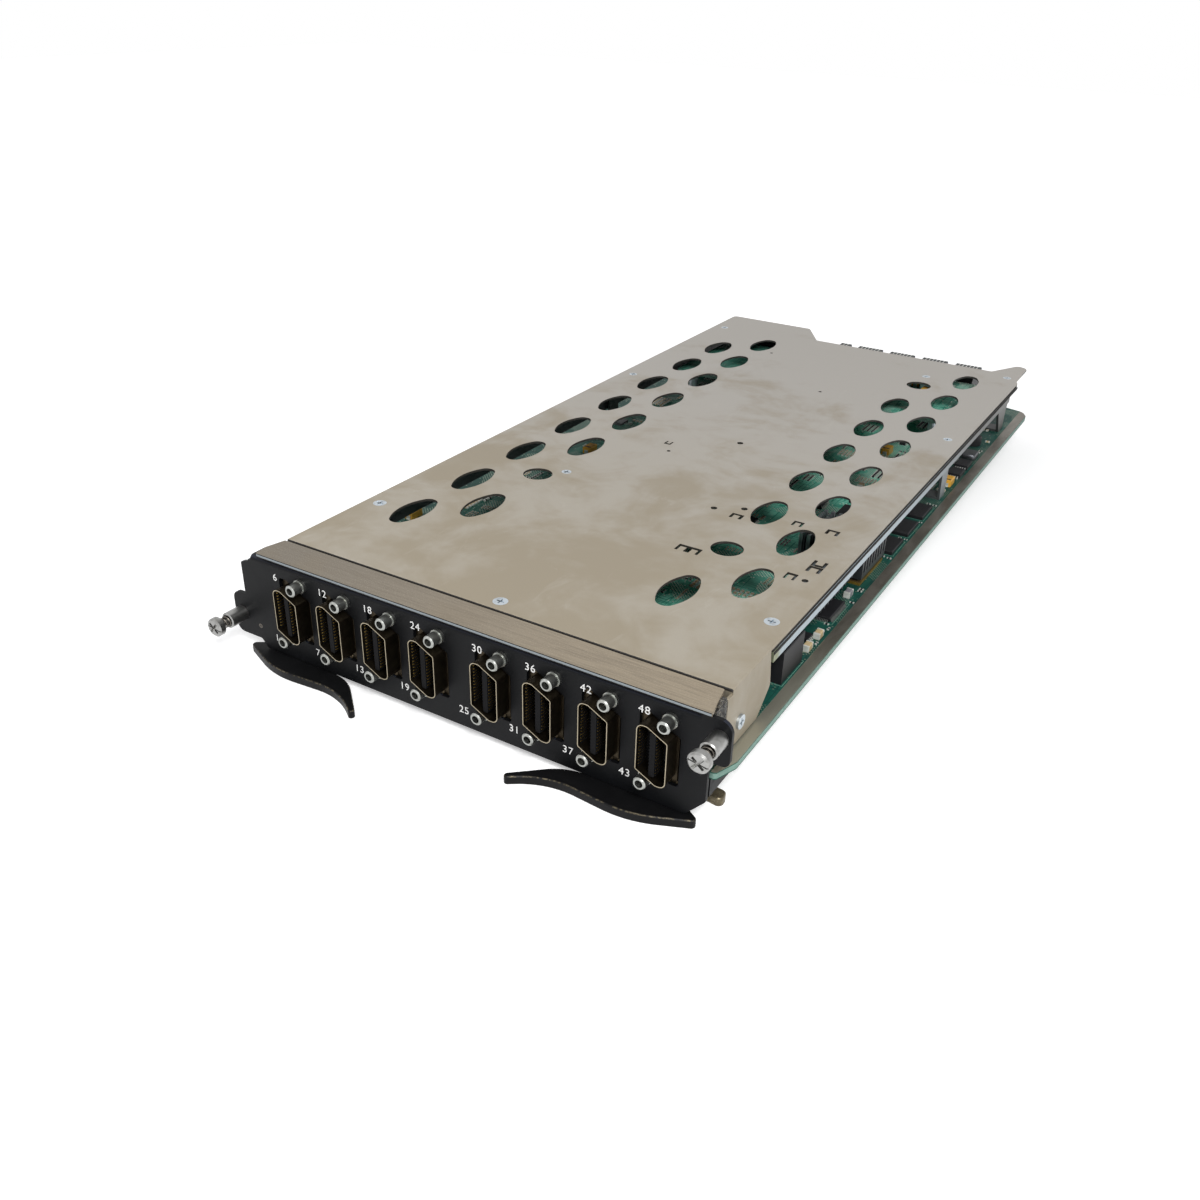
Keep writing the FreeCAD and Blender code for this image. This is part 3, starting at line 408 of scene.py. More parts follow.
def rail_zinc():
    """Pale blue zinc with a yellow-green patch at the front end, darker towards the back, with
    painted shade on the undersides and inner faces.
    """
    finish = Finish("rail_zinc")
    streaks = finish.noise(7.0, 4.0, 0.6, 0.3, (1.0, 0.25, 1.0))
    color = finish.mix(streaks, rgb(146, 158, 164), rgb(178, 188, 194))
    front_end = (1.0 - finish.smooth(finish.y, 49.0, 53.5)) * (finish.x > 90.0)
    patch = front_end * (finish.noise(3.0, 3.0) * 0.6 + 0.5)
    color = finish.mix(patch, color, rgb(122, 124, 78))
    # Darker towards the back.
    darker_towards_back = finish.smooth(finish.y, 150.0, 330.0)
    color = finish.mix(darker_towards_back * 0.9, color, rgb(92, 90, 86))
    # Painted shade: the undersides and the inward faces of the rails are painted dark.
    shaded_inner_faces = (abs(finish.x) < 89.8) + (finish.x > 0.0) * (finish.x < 98.7)
    shaded_inside = finish.most(finish.facing_up < -0.5, shaded_inner_faces > 0.5) * 0.85
    color = finish.mix(shaded_inside, color, rgb(44, 46, 45))
    roughness = 0.42 + streaks * 0.14
    return finish.surface(color, roughness, 0.7 - shaded_inside * 0.5, finish.noise(0.5), 0.006)


def bright_metal(name, light, dark, roughness, turned=0.0):
    """Plated or turned metal with fine rings and a little grime."""
    finish = Finish(name)
    grime = finish.noise(2.6, 2.0, 0.5)
    rings = finish.noise(0.3, 1.0, 0.5, 0.0, (0.02, 1.0, 0.02))
    color = finish.mix(finish.smooth(grime, 0.48, 0.75) * 0.5, light, dark)
    return finish.surface(color, roughness + grime * 0.1, 1.0, rings * turned, 0.006)


def screw_steel():
    return bright_metal("screw_steel", rgb(190, 198, 204), rgb(142, 148, 152), 0.32)


def nickel():
    return bright_metal("nickel", rgb(150, 150, 148), rgb(104, 102, 98), 0.28, 0.5)


def jack_nickel():
    return bright_metal("jack_nickel", rgb(158, 160, 156), rgb(120, 118, 110), 0.30, 0.2)


def spring_wire():
    return bright_metal("spring_wire", rgb(92, 88, 82), rgb(48, 45, 42), 0.36)


def contact_gold():
    # Painted shade: the gold is painted a dim brown, as the contacts look in the shade inside the
    # sockets.
    return bright_metal("contact_gold", rgb(124, 104, 58), rgb(70, 58, 34), 0.36)


def solder_tin():
    """Dull tin on pins, plated ends and joints."""
    finish = Finish("solder_tin")
    grime = finish.noise(1.3, 2.0, 0.5)
    color = finish.mix(grime, rgb(178, 180, 172), rgb(228, 230, 224))
    return finish.surface(color, 0.38 + grime * 0.1, 0.4, grime, 0.004)


def pin_tin():
    """Darker tin of the fine pins by the open edge."""
    finish = Finish("pin_tin")
    grime = finish.noise(1.3, 2.0, 0.5)
    color = finish.mix(grime, rgb(84, 86, 84), rgb(140, 142, 138))
    return finish.surface(color, 0.42, 0.5, grime, 0.004)


def shell_metal():
    """Formed socket shell: bronze walls painted dark as shade, with a paler rim that is a painted
    highlight.
    """
    finish = Finish("shell_metal")
    # Painted highlight: the front rim is paler.
    rim = 1.0 - finish.smooth(finish.y, -5.48, -5.30)
    stain = finish.noise(2.4, 3.0, 0.6)
    # Painted shade: the walls are painted dark.
    walls = finish.mix(stain, rgb(44, 38, 30), rgb(74, 66, 53))
    color = finish.mix(rim, walls, finish.mix(stain, rgb(138, 128, 108), rgb(182, 172, 150)))
    return finish.surface(color, 0.34 + stain * 0.14 - rim * 0.06, 1.0, stain, 0.008)


def moulded(name, dark, light, roughness, size=0.8, gloss=0.3):
    """Moulded plastic with a fine spark-eroded skin."""
    finish = Finish(name)
    skin = finish.noise(size * 0.35, 3.0, 0.6)
    shade = finish.noise(size * 8.0, 3.0, 0.6)
    color = finish.mix(shade, dark, light)
    return finish.surface(color, roughness + skin * 0.1, 0.0, skin, 0.012, specular_ior_level=gloss)


def insert_plastic():
    return moulded("insert_plastic", rgb(5, 5, 6), rgb(13, 13, 15), 0.55, gloss=0.10)


def backplane_plastic():
    return moulded("backplane_plastic", rgb(24, 25, 26), rgb(44, 46, 48), 0.45)


def gasket():
    return moulded("gasket", rgb(22, 21, 20), rgb(44, 41, 38), 0.88, 1.6)


def mesh_gasket():
    """Conductive cloth over foam: a fine dark weave with bright threads."""
    finish = Finish("mesh_gasket")
    threads = finish.node("ShaderNodeTexWave", {"bands_direction": "Z"}, {
        "Vector": finish.place, "Scale": 1.6, "Distortion": 2.0, "Detail": 2.0,
    }, "Fac")
    worn = finish.smooth(finish.noise(1.4, 4.0, 0.7), 0.45, 0.62)
    color = finish.mix(threads * worn, rgb(24, 23, 22), rgb(150, 144, 132))
    return finish.surface(color, 0.5, worn * 0.6, threads, 0.06)


def board_green():
    """Green solder mask over copper runs, pads and vias, a tinned strip on each long edge; painted
    light makes the board lighter in the middle and to the right and the tin lighter towards the
    front.
    """
    finish = Finish("board_green")
    runs = finish.noise(2.6, 1.0, 0.3, 0.0, (1.0, 0.07, 1.0))
    cross_runs = finish.noise(2.2, 1.0, 0.3, 0.0, (0.07, 1.0, 1.0))
    copper = finish.smooth(abs(runs - 0.5), 0.02, 0.03)
    copper = copper * finish.smooth(abs(cross_runs - 0.5), 0.015, 0.025)
    # Painted light: the board is painted lighter in the middle and towards the right, and darker at
    # the left and towards the long edges.
    painted_light_to_right = finish.smooth(finish.x, -50.0, 0.0) * 0.6 + 0.4
    inner = (1.0 - finish.smooth(abs(finish.x), 74.0, 88.0)) * painted_light_to_right
    mask = finish.mix(copper, finish.mix(inner, rgb(18, 56, 50), rgb(66, 156, 132)),
                      finish.mix(inner, rgb(26, 76, 66), rgb(128, 206, 182)))
    region = finish.smooth(finish.noise(24.0, 2.0, 0.4), 0.47, 0.5)
    mask = finish.mix(region * 0.35, mask, finish.mix(inner, rgb(14, 58, 50), rgb(44, 128, 108)))
    via = 1.0 - finish.smooth(finish.cells(finish.stretched((1, 1, 0)), 1.0 / 1.9, 0.75), 0.18, 0.23)
    turned = finish.node("ShaderNodeCombineXYZ", inputs={
        0: finish.x * 0.707 + finish.y * 0.707, 1: finish.x * 0.707 - finish.y * 0.707,
    })
    pads = finish.cells(turned, 0.85, 0.0) < 0.30
    pads = pads * finish.smooth(finish.noise(13.0, 1.0, 0.4), 0.54, 0.56)
    via = finish.most(via, pads)
    tinned = finish.mix(inner, rgb(120, 136, 120), rgb(236, 240, 226))
    mask = finish.mix(via * 0.9, mask, tinned)
    strip = finish.smooth(abs(finish.x), 100.6, 100.8)
    smudge = finish.smooth(finish.noise(9.0, 4.0, 0.6, 0.5, (1.0, 0.3, 1.0)), 0.35, 0.65)
    tin = finish.mix(smudge, rgb(112, 107, 98), rgb(138, 133, 123))
    # Painted light: the tin is lighter towards the front.
    tin = finish.mix(finish.smooth(finish.y, 20.0, 130.0), rgb(176, 174, 158), tin)
    face = abs(finish.facing_up) > 0.5
    laminate = finish.noise(0.4, 2.0, 0.6, 0.0, (0.2, 0.2, 1.0))
    side = finish.mix(laminate, rgb(86, 116, 106), rgb(132, 162, 150))
    lip = finish.most(finish.z > BOARD_TOP - 0.4, finish.z < BOARD_TOP - 2.4)
    side = finish.mix(lip * (finish.z < BOARD_TOP + 1.0), side, rgb(34, 78, 66))
    color = finish.mix(face, side, finish.mix(strip, mask, tin))
    metal = face * finish.most(strip * 0.85, via * 0.6)
    relief = copper * 0.6 + via * 0.6
    roughness = 0.5 - metal * 0.12
    return finish.surface(color, roughness, metal, relief, 0.02, specular_ior_level=0.12)


def sink_aluminium():
    """Bare aluminium fins, with painted shade darker down between them."""
    finish = Finish("sink_aluminium")
    streaks = finish.noise(0.8, 3.0, 0.6, 0.0, (1.0, 1.0, 0.1))
    # Painted shade: darker towards the fin roots, lighter at the tops.
    top = finish.smooth(finish.z, 34.0, 38.4)
    color = finish.mix(top, rgb(86, 88, 92), rgb(176, 180, 184))
    color = finish.mix(streaks * 0.4, color, rgb(110, 112, 116))
    return finish.surface(color, 0.35, 0.9, streaks, 0.01)


def asic_lid():
    """Moulded lid over a laminate whose rim is gold."""
    finish = Finish("asic_lid")
    rim = 1.0 - finish.smooth(finish.z, BOARD_TOP + 1.1, BOARD_TOP + 1.25)
    speck = finish.noise(0.5, 3.0, 0.6)
    color = finish.mix(rim, rgb(30, 30, 31), finish.mix(speck, rgb(120, 92, 34), rgb(196, 160, 74)))
    return finish.surface(color, 0.42, rim * 0.8, speck, 0.01)


def tantalum():
    """Moulded yellow body."""
    finish = Finish("tantalum")
    speck = finish.noise(0.7, 3.0, 0.6)
    color = finish.mix(speck, rgb(206, 148, 44), rgb(232, 182, 78))
    return finish.surface(color, 0.38, 0.0, speck, 0.01)


def ceramic():
    """Tan ceramic, grey on the one beside the front sink."""
    finish = Finish("ceramic")
    speck = finish.noise(0.6, 3.0, 0.6)
    tan = finish.mix(speck, rgb(156, 134, 98), rgb(204, 184, 144))
    grey_one = (finish.y > 134.0) * (finish.y < 140.0) * (finish.x > 90.0)
    color = finish.mix(grey_one, tan, rgb(128, 126, 130))
    return finish.surface(color, 0.5, 0.0, speck, 0.01)


def resistor_black():
    return moulded("resistor_black", rgb(18, 18, 20), rgb(34, 34, 38), 0.4)


def board_ink():
    """Pale green-white printed lines on the board."""
    finish = Finish("board_ink")
    speck = finish.noise(0.4, 3.0, 0.6)
    color = finish.mix(speck, rgb(84, 132, 112), rgb(130, 170, 152))
    return finish.surface(color, 0.6, 0.0, speck, 0.005)


def chip_black():
    return moulded("chip_black", rgb(14, 14, 16), rgb(27, 27, 30), 0.46)


CARD_FINISHES = {
    "cover_steel": cover_steel, "tinned_strip": tinned_strip, "black_plate": black_plate,
    "lever_paint": lever_paint, "rail_zinc": rail_zinc, "screw_steel": screw_steel,
    "nickel": nickel, "jack_nickel": jack_nickel, "spring_wire": spring_wire,
    "shell_metal": shell_metal, "insert_plastic": insert_plastic,
    "backplane_plastic": backplane_plastic, "gasket": gasket, "mesh_gasket": mesh_gasket,
    "board_green": board_green, "sink_aluminium": sink_aluminium, "asic_lid": asic_lid,
    "tantalum": tantalum, "ceramic": ceramic, "chip_black": chip_black,
}


def finish_the_card():
    """Give every solid of the card its finish, and return the finishes by slot."""
    made = {slot: make() for slot, make in CARD_FINISHES.items()}
    for subpart in record["subparts"]:
        slots = nodes[subpart["node"]].data.materials
        slots.clear()
        slots.append(made[subpart["material_slot"]])
    return made


def new_piece(name, mesh, finish, body="card"):
    """Hang a finished mesh in the scene, riding on a body of the card."""
    piece = bpy.data.objects.new(name, mesh)
    bpy.context.scene.collection.objects.link(piece)
    mesh.materials.clear()
    mesh.materials.append(finish)
    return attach(piece, body)


def circle(middle, side, other, radius, sides):
    """Points on a circle round a middle, in the plane of two unit vectors."""
    points = []
    for i in range(sides):
        angle = 2 * math.pi * i / sides
        points.append(middle + (side * math.cos(angle) + other * math.sin(angle)) * radius)
    return points


class Forge:
    """Collects solid shapes in drawing millimetres and turns them into one mesh."""

    def __init__(self):
        self.mesh = bmesh.new()

    def loops(self, rings):
        """A solid through rings of points, each ring in the same order."""
        made = [[self.mesh.verts.new(point) for point in ring] for ring in rings]
        count = len(made[0])
        self.mesh.faces.new(made[0][::-1])
        self.mesh.faces.new(made[-1])
        for near, far in zip(made, made[1:]):
            for i in range(count):
                j = (i + 1) % count
                self.mesh.faces.new((near[i], near[j], far[j], far[i]))

    def prism(self, outline, sweep):
        """A solid from a flat outline swept along a vector."""
        self.loops([outline, [Vector(point) + Vector(sweep) for point in outline]])

    def bar(self, low, high):
        outline = [(low[0], low[1], low[2]), (high[0], low[1], low[2]),
                   (high[0], high[1], low[2]), (low[0], high[1], low[2])]
        self.prism(outline, (0, 0, high[2] - low[2]))

    def turned(self, profile, foot, axis, sides=12):
        """A round solid from (radius, height) points along an axis that leaves the foot point."""
        axis = Vector(axis).normalized()
        side = axis.orthogonal().normalized()
        other = axis.cross(side)
        middles = [(radius, Vector(foot) + axis * height) for radius, height in profile]
        self.loops([circle(middle, side, other, radius, sides) for radius, middle in middles])

    def thread(self, points, radius, sides=4):
        """A thin round strand through points."""
        rings = []
        for i, point in enumerate(points):
            ahead = (points[min(i + 1, len(points) - 1)] - points[max(i - 1, 0)]).normalized()
            side = ahead.cross(Vector((0.3, 0.2, 0.93))).normalized()
            rings.append(circle(point, side, ahead.cross(side), radius, sides))
        self.loops(rings)

    def cast(self, name, bevel=0.0):
        """The finished mesh in metres, its edges softened by a bevel in millimetres."""
        bmesh.ops.recalc_face_normals(self.mesh, faces=self.mesh.faces)
        if bevel:
            edges = [e for e in self.mesh.edges if e.is_manifold]
            bent = [e for e in edges if e.calc_face_angle() > bevel_angle]
            bmesh.ops.bevel(
                self.mesh, geom=bent, offset=bevel, segments=1, affect="EDGES", clamp_overlap=True,
            )
        self.mesh.transform(Matrix.Translation((0, FRONT, 0)) @ Matrix.Scale(MM, 4))
        mesh = bpy.data.meshes.new(name)
        self.mesh.to_mesh(mesh)
        self.mesh.free()
        mesh.shade_smooth()
        mesh.set_sharp_from_angle(angle=math.radians(sharp_angle))
        return mesh


def part_box(node):
    """Low and high corner of a node, in the drawing's millimetres."""
    low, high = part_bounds(node)
    return drawn(low), drawn(high)


def separate_boxes(node):
    """The box of each separate solid in a node, in the drawing's millimetres."""
    whole = bmesh.new()
    whole.from_mesh(nodes[node].data)
    bmesh.ops.remove_doubles(whole, verts=whole.verts, dist=1e-6)
    unseen = set(whole.verts)
    boxes = []
    while unseen:
        reached = [unseen.pop()]
        places = []
        while reached:
            corner = reached.pop()
            places.append(drawn(corner.co))
            for edge in corner.link_edges:
                other = edge.other_vert(corner)
                if other in unseen:
                    unseen.remove(other)
                    reached.append(other)
        low = Vector([min(p[i] for p in places) for i in range(3)])
        high = Vector([max(p[i] for p in places) for i in range(3)])
        boxes.append((low, high))
    whole.free()
    return sorted(boxes, key=lambda box: (round(box[0].y, 2), round(box[0].x, 2)))


def socket_middle(number):
    """X and Z of a socket's middle."""
    low, high = part_box("connector_shell_%d" % number)
    return (low.x + high.x) / 2.0, (low.z + high.z) / 2.0


def socket_contacts(made):
    """Leaf contacts and the ribs between them, on the tongue and on the walls of each socket."""
    for number in SOCKETS:
        x, z = socket_middle(number)
        leaves = Forge()
        ribs = Forge()
        for side in (-1, 1):
            wall_row = (wall_face, -1, -side * wall_row_shift)
            for face, away, shift in ((tongue_face, 1, 0.0), wall_row):
                for i in range(contact_count + 1):
                    level = z + shift + contact_pitch * (i - contact_count / 2.0)
                    near, far = sorted((x + side * face, x + side * (face + away * rib_rise)))
                    half = rib_width / 2.0
                    ribs.bar((near, rib_front, level - half), (far, contact_foot, level + half))
                    if i < contact_count:
                        low = level + (contact_pitch - contact_width) / 2.0
                        outline = [(x + side * (face + away * u), v, low) for u, v in contact_leaf]
                        leaves.prism(outline, (0, 0, contact_width))
        gold, plastic = made["contact_gold"], made["insert_plastic"]
        new_piece("contacts_%d" % number, leaves.cast("contacts", 0.04), gold)
        new_piece("contact_ribs_%d" % number, ribs.cast("ribs", 0.06), plastic)


def shell_springs(made):
    """The formed finger at the right of each shell and the pressed domes round it."""
    for number in SOCKETS:
        x, z = socket_middle(number)
        formed = Forge()
        section = [(6.35, flange_face), (6.5, 0.7), (6.7, 0.7), (6.85, flange_face)]
        formed.prism([(x + u, v, z - 11.0) for u, v in section], (0, 0, 17.5))
        dome = [(1.15, 0.0), (1.0, 0.45), (0.6, 0.8), (0.2, 0.92)]
        for side in (-1, 1):
            formed.turned(dome, (x + side * 3.4, flange_face, z - side * 11.9), (0, -1, 0), 14)
        small_dome = [(0.6, 0.0), (0.5, 0.5), (0.2, 0.8)]
        formed.turned(small_dome, (x + 6.6, flange_face, z - 11.6), (0, -1, 0), 10)
        mesh = formed.cast("fingers", 0.05)
        new_piece("shell_fingers_%d" % number, mesh, made["shell_metal"])


def gull_pins(forge, box, sides, count, pitch, width, rise):
    """Bent pins from the sides of a package down to the board."""
    low, high = box
    middle = (low + high) / 2.0
    wing = ((-0.1, rise), (0.42, rise), (0.62, pin_sheet), (1.1, pin_sheet), (1.1, 0.0), (0.5, 0.0),
            (0.30, rise - pin_sheet), (-0.1, rise - pin_sheet))
    for side in sides:
        for i in range(count):
            along = pitch * (i - (count - 1) / 2.0) - width / 2.0
            if side in ("left", "right"):
                edge, sign = (low.x, -1) if side == "left" else (high.x, 1)
                outline = [(edge + sign * u, middle.y + along, low.z + v) for u, v in wing]
                forge.prism(outline, (0, width, 0))
            else:
                edge, sign = (low.y, -1) if side == "front" else (high.y, 1)
                outline = [(middle.x + along, edge + sign * u, low.z + v) for u, v in wing]
                forge.prism(outline, (width, 0, 0))


def package_pins(made):
    """Pins of the packages on the board."""
    all_round = ("left", "right", "front", "back")
    rows = Forge()
    for box in separate_boxes("logic_chips"):
        gull_pins(rows, box, ("left", "right"), 7, 1.27, 0.5, 1.0)
    new_piece("logic_pins", rows.cast("pins"), made["solder_tin"])
    rows = Forge()
    for box in separate_boxes("phy_chips"):
        gull_pins(rows, box, all_round, 20, 0.8, 0.36, 0.9)
    new_piece("phy_pins", rows.cast("pins"), made["pin_tin"])
    rows = Forge()
    gull_pins(rows, part_box("bus_chip"), all_round, 24, 0.65, 0.3, 0.9)
    new_piece("bus_pins", rows.cast("pins"), made["pin_tin"])


def chip_marks(made):
    """Pin-one dots on the packages, and a printed line on the board round each."""
    dots = Forge()
    lines = Forge()
    for node in ("bus_chip", "memory_chips", "logic_chips", "phy_chips", "power_module"):
        for low, high in separate_boxes(node):
            corner = (low.x + 1.3, low.y + 1.3, high.z)
            dots.turned([(0.45, -0.05), (0.45, 0.015), (0.3, 0.02)], corner, (0, 0, 1), 12)
            gap = 1.5 if node in ("bus_chip", "logic_chips", "phy_chips") else 0.7
            x0, x1, y0, y1 = low.x - gap, high.x + gap, low.y - gap, high.y + gap
            x1 = min(x1, BOARD_HALF - 4.6)
            base = BOARD_TOP - 0.01
            for u0, v0, u1, v1 in (
                (x0, y0, x1, y0 + line_width), (x0, y1 - line_width, x1, y1),
                (x0, y0, x0 + line_width, y1), (x1 - line_width, y0, x1, y1),
            ):
                lines.bar((u0, v0, base), (u1, v1, base + line_thick))
    new_piece("pin_one_dots", dots.cast("dots"), made["board_ink"])
    new_piece("board_lines", lines.cast("lines"), made["board_ink"])


def capacitor_ends(made):
    """Plated ends of the ceramic blocks, and the folded tabs and dark bands of the tantalums."""
    plated = Forge()
    for low, high in separate_boxes("ceramic_capacitors"):
        for y0, y1 in ((low.y - 0.05, low.y + 0.8), (high.y - 0.8, high.y + 0.05)):
            plated.bar((low.x - 0.05, y0, low.z), (high.x + 0.05, y1, high.z + 0.05))
    new_piece("ceramic_ends", plated.cast("ends", 0.12), made["solder_tin"])
    tabs = Forge()
    bands = Forge()
    fold = ((0.0, 0.0), (0.5, 0.0), (0.5, 0.14), (0.14, 0.14), (0.14, 1.9), (-0.05, 1.9),
            (-0.05, 0.0))
    for low, high in separate_boxes("tantalum_capacitors"):
        middle = (low.x + high.x) / 2.0
        for edge, sign in ((low.y, -1), (high.y, 1)):
            outline = [(middle - 1.1, edge + sign * u, low.z + v) for u, v in fold]
            tabs.prism(outline, (2.2, 0, 0))
        near = (low.x + 0.32, low.y + 0.9, high.z - 0.02)
        bands.bar(near, (high.x - 0.32, low.y + 1.9, high.z + 0.02))
    new_piece("tantalum_tabs", tabs.cast("tabs"), made["solder_tin"])
    new_piece("tantalum_bands", bands.cast("bands"), made["resistor_black"])


def clear_of(blocks, x, y, reach):
    """Whether a point is further than reach from every block."""
    for low, high in blocks:
        if low.x - reach < x < high.x + reach and low.y - reach < y < high.y + reach:
            return False
    return True


def small_parts(made):
    """Seeded rows of chip capacitors, chip resistors and small packages over the board."""
    draw = random.Random(part_seed)
    blocks = taken_places()
    tan = Forge()
    black = Forge()
    ends = Forge()
    pins = Forge()
    for attempt in range(row_tries):
        x = draw.uniform(-94.0, 84.0)
        y = draw.uniform(88.0, 392.0)
        rows = draw.randint(1, 3)
        count = draw.randint(3, 7)
        turned_row = draw.random() < 0.5
        body = tan if draw.random() < 0.5 else black
        long, wide = draw.choice(chip_sizes)
        if not clear_of(blocks, x + row_plot / 2.0, y + row_plot / 2.0, 3.4):
            continue
        for i in range(count):
            for row in range(rows):
                u, v = i * (wide + chip_gap), row * (long + chip_gap)
                px, py = (x + v, y + u) if turned_row else (x + u, y + v)
                if clear_of(blocks, px, py, 2.2):
                    passive(body, ends, px, py, long, wide, turned_row)
        blocks.append((Vector((x, y, 0)), Vector((x + row_plot, y + row_plot, 0))))
    for attempt in range(package_tries):
        x = draw.uniform(-92.0, 78.0)
        y = draw.uniform(90.0, 388.0)
        half = draw.choice(package_halves)
        if not clear_of(blocks, x, y, max(half) + 1.8):
            continue
        low = Vector((x - half[0], y - half[1], BOARD_TOP))
        high = Vector((x + half[0], y + half[1], BOARD_TOP + 1.4))
        black.bar(low, high)
        count = int(2 * half[1] / package_pitch)
        gull_pins(pins, (low, high), ("left", "right"), count, package_pitch, 0.42, 0.8)
        blocks.append((low, high))
    new_piece("chip_capacitors", tan.cast("chips"), made["ceramic"])
    new_piece("chip_resistors", black.cast("chips"), made["resistor_black"])
    new_piece("chip_ends", ends.cast("ends"), made["solder_tin"])
    new_piece("small_pins", pins.cast("pins"), made["solder_tin"])


def passive(body, ends, x, y, long, wide, turned_row):
    """One chip part: a body between two plated ends."""
    half = (long / 2.0, wide / 2.0) if turned_row else (wide / 2.0, long / 2.0)
    top = BOARD_TOP + wide * chip_rise
    body.bar((x - half[0], y - half[1], BOARD_TOP), (x + half[0], y + half[1], top))
    middle = x if turned_row else y
    outer, inner = long / 2.0 + plated_reach, long / 2.0 - long * plated_share
    for sign in (-1, 1):
        near, far = sorted((middle + sign * outer, middle + sign * inner))
        if turned_row:
            low, high = (near, y - half[1] - plated_skin), (far, y + half[1] + plated_skin)
        else:
            low, high = (x - half[0] - plated_skin, near), (x + half[0] + plated_skin, far)
        ends.bar((*low, BOARD_TOP), (*high, top + plated_skin))


def taken_places():
    """The boxes of what already stands on the board."""
    places = []
    for node in (
        "logic_chips", "phy_chips", "memory_chips", "tantalum_capacitors", "ceramic_capacitors",
        "standoffs", "rear_board_posts",
    ):
        places += separate_boxes(node)
    for node in ("bus_chip", "asic", "heat_sink_front", "choke", "power_module"):
        places.append(part_box(node))
    for number in MODULES:
        places.append(part_box("backplane_connector_%d" % number))
    return places


def edge_parts(made):
    """Small parts by the open edge: pinned packages, chip parts between them and a can."""
    black = Forge()
    ends = Forge()
    tan = Forge()
    pins = Forge()
    low = Vector((92.4, 93.4, BOARD_TOP))
    high = Vector((96.2, 98.4, BOARD_TOP + 1.7))
    black.bar(low, high)
    gull_pins(pins, (low, high), ("left", "right"), 4, 1.2, 0.45, 0.9)
    for x, y, long, wide, turned_row in (
        (93.4, 83.4, 2.0, 1.25, True), (93.6, 86.0, 2.0, 1.25, True), (93.6, 88.6, 1.6, 0.8, True),
        (99.4, 94.6, 1.6, 0.8, False), (97.8, 104.4, 1.6, 0.8, True), (99.2, 107.4, 1.6, 0.8, False),
        (97.2, 110.6, 1.6, 0.8, True), (99.4, 132.4, 1.6, 0.8, True), (98.8, 143.4, 1.6, 0.8, True),
        (98.8, 145.4, 1.6, 0.8, True), (99.0, 179.4, 1.6, 0.8, True), (96.0, 179.8, 1.6, 0.8, True),
        (99.2, 201.8, 1.2, 0.6, True), (96.4, 202.0, 1.2, 0.6, True), (99.2, 223.4, 1.2, 0.6, True),
        (99.0, 246.0, 1.6, 0.8, True), (96.0, 246.4, 1.6, 0.8, True), (97.6, 266.0, 2.0, 1.25, False),
        (94.6, 266.0, 2.0, 1.25, False), (98.4, 331.0, 1.6, 0.8, True),
        (98.0, 328.0, 1.6, 0.8, True), (98.0, 347.0, 2.0, 1.25, True),
    ):
        passive(tan if wide > 1.0 else black, ends, x, y, long, wide, turned_row)
    for y in (286.0, 299.6):
        low = Vector((92.9, y, BOARD_TOP))
        high = Vector((99.6, y + 9.4, BOARD_TOP + 2.3))
        black.bar(low, high)
        gull_pins(pins, (low, high), ("front", "back"), 5, 1.2, 0.45, 1.2)
    can = Forge()
    outline = [(93.2, 313.6), (98.6, 313.6), (99.4, 314.4), (99.4, 322.0), (98.6, 322.8),
               (93.2, 322.8), (92.4, 322.0), (92.4, 314.4)]
    can.prism([(x, y, BOARD_TOP) for x, y in outline], (0, 0, 3.2))
    new_piece("shielded_can", can.cast("can", 0.3), made["sink_aluminium"])
    new_piece("edge_capacitors", tan.cast("chips", 0.05), made["ceramic"])
    new_piece("edge_parts", black.cast("chips", 0.08), made["resistor_black"])
    new_piece("edge_ends", ends.cast("ends"), made["solder_tin"])
    new_piece("edge_pins", pins.cast("pins"), made["solder_tin"])


def module_box(number):
    """Low and high corner of a rear module, and how many columns it has."""
    low, high = part_box("backplane_connector_%d" % number)
    return low, high, round((high.x - low.x) / module_pitch)


def backplane_metal(made):
    """Shield plates standing in each module's comb, and the blades in its rear slots."""
    for number in MODULES:
        low, high, columns = module_box(number)
        plates = Forge()
        for i in range(1, columns):
            x = low.x + module_pitch * i
            near = (x - plate_half, low.y + 3.0, high.z - 1.5)
            plates.bar(near, (x + plate_half, high.y - 0.3, high.z - 0.03))
        for i in range(columns):
            x = low.x + module_pitch * (i + 0.5)
            for row in range(blade_rows):
                z = BOARD_TOP + 2.6 + row * blade_pitch
                near = (x - blade_half, high.y - 5.2, z)
                plates.bar(near, (x + blade_half, high.y - 0.9, z + blade_height))
        mesh = plates.cast("plates", 0.04)
        new_piece("backplane_plates_%d" % number, mesh, made["solder_tin"])


def solder_joints(made):
    """Rounded solder joints on the underside, under the sockets and the rear modules."""
    joints = Forge()
    bead = [(0.55, 0.05), (0.5, -0.25), (0.34, -0.6), (0.2, -1.0), (0.08, -1.1)]
    under = BOARD_TOP - board_thick
    for number in SOCKETS:
        x = socket_middle(number)[0]
        for row in range(4):
            for i in range(6):
                place = (x + (i - 2.5) * 2.0, 7.0 + 2.4 * row, under)
                joints.turned(bead, place, (0, 0, 1), 8)
    for number in MODULES:
        low, _, columns = module_box(number)
        for i in range(columns):
            for row in range(7):
                place = (low.x + module_pitch * (i + 0.5), low.y + 2.0 + 2.2 * row, under)
                joints.turned(bead, place, (0, 0, 1), 6)
    new_piece("solder_joints", joints.cast("joints"), made["solder_tin"])


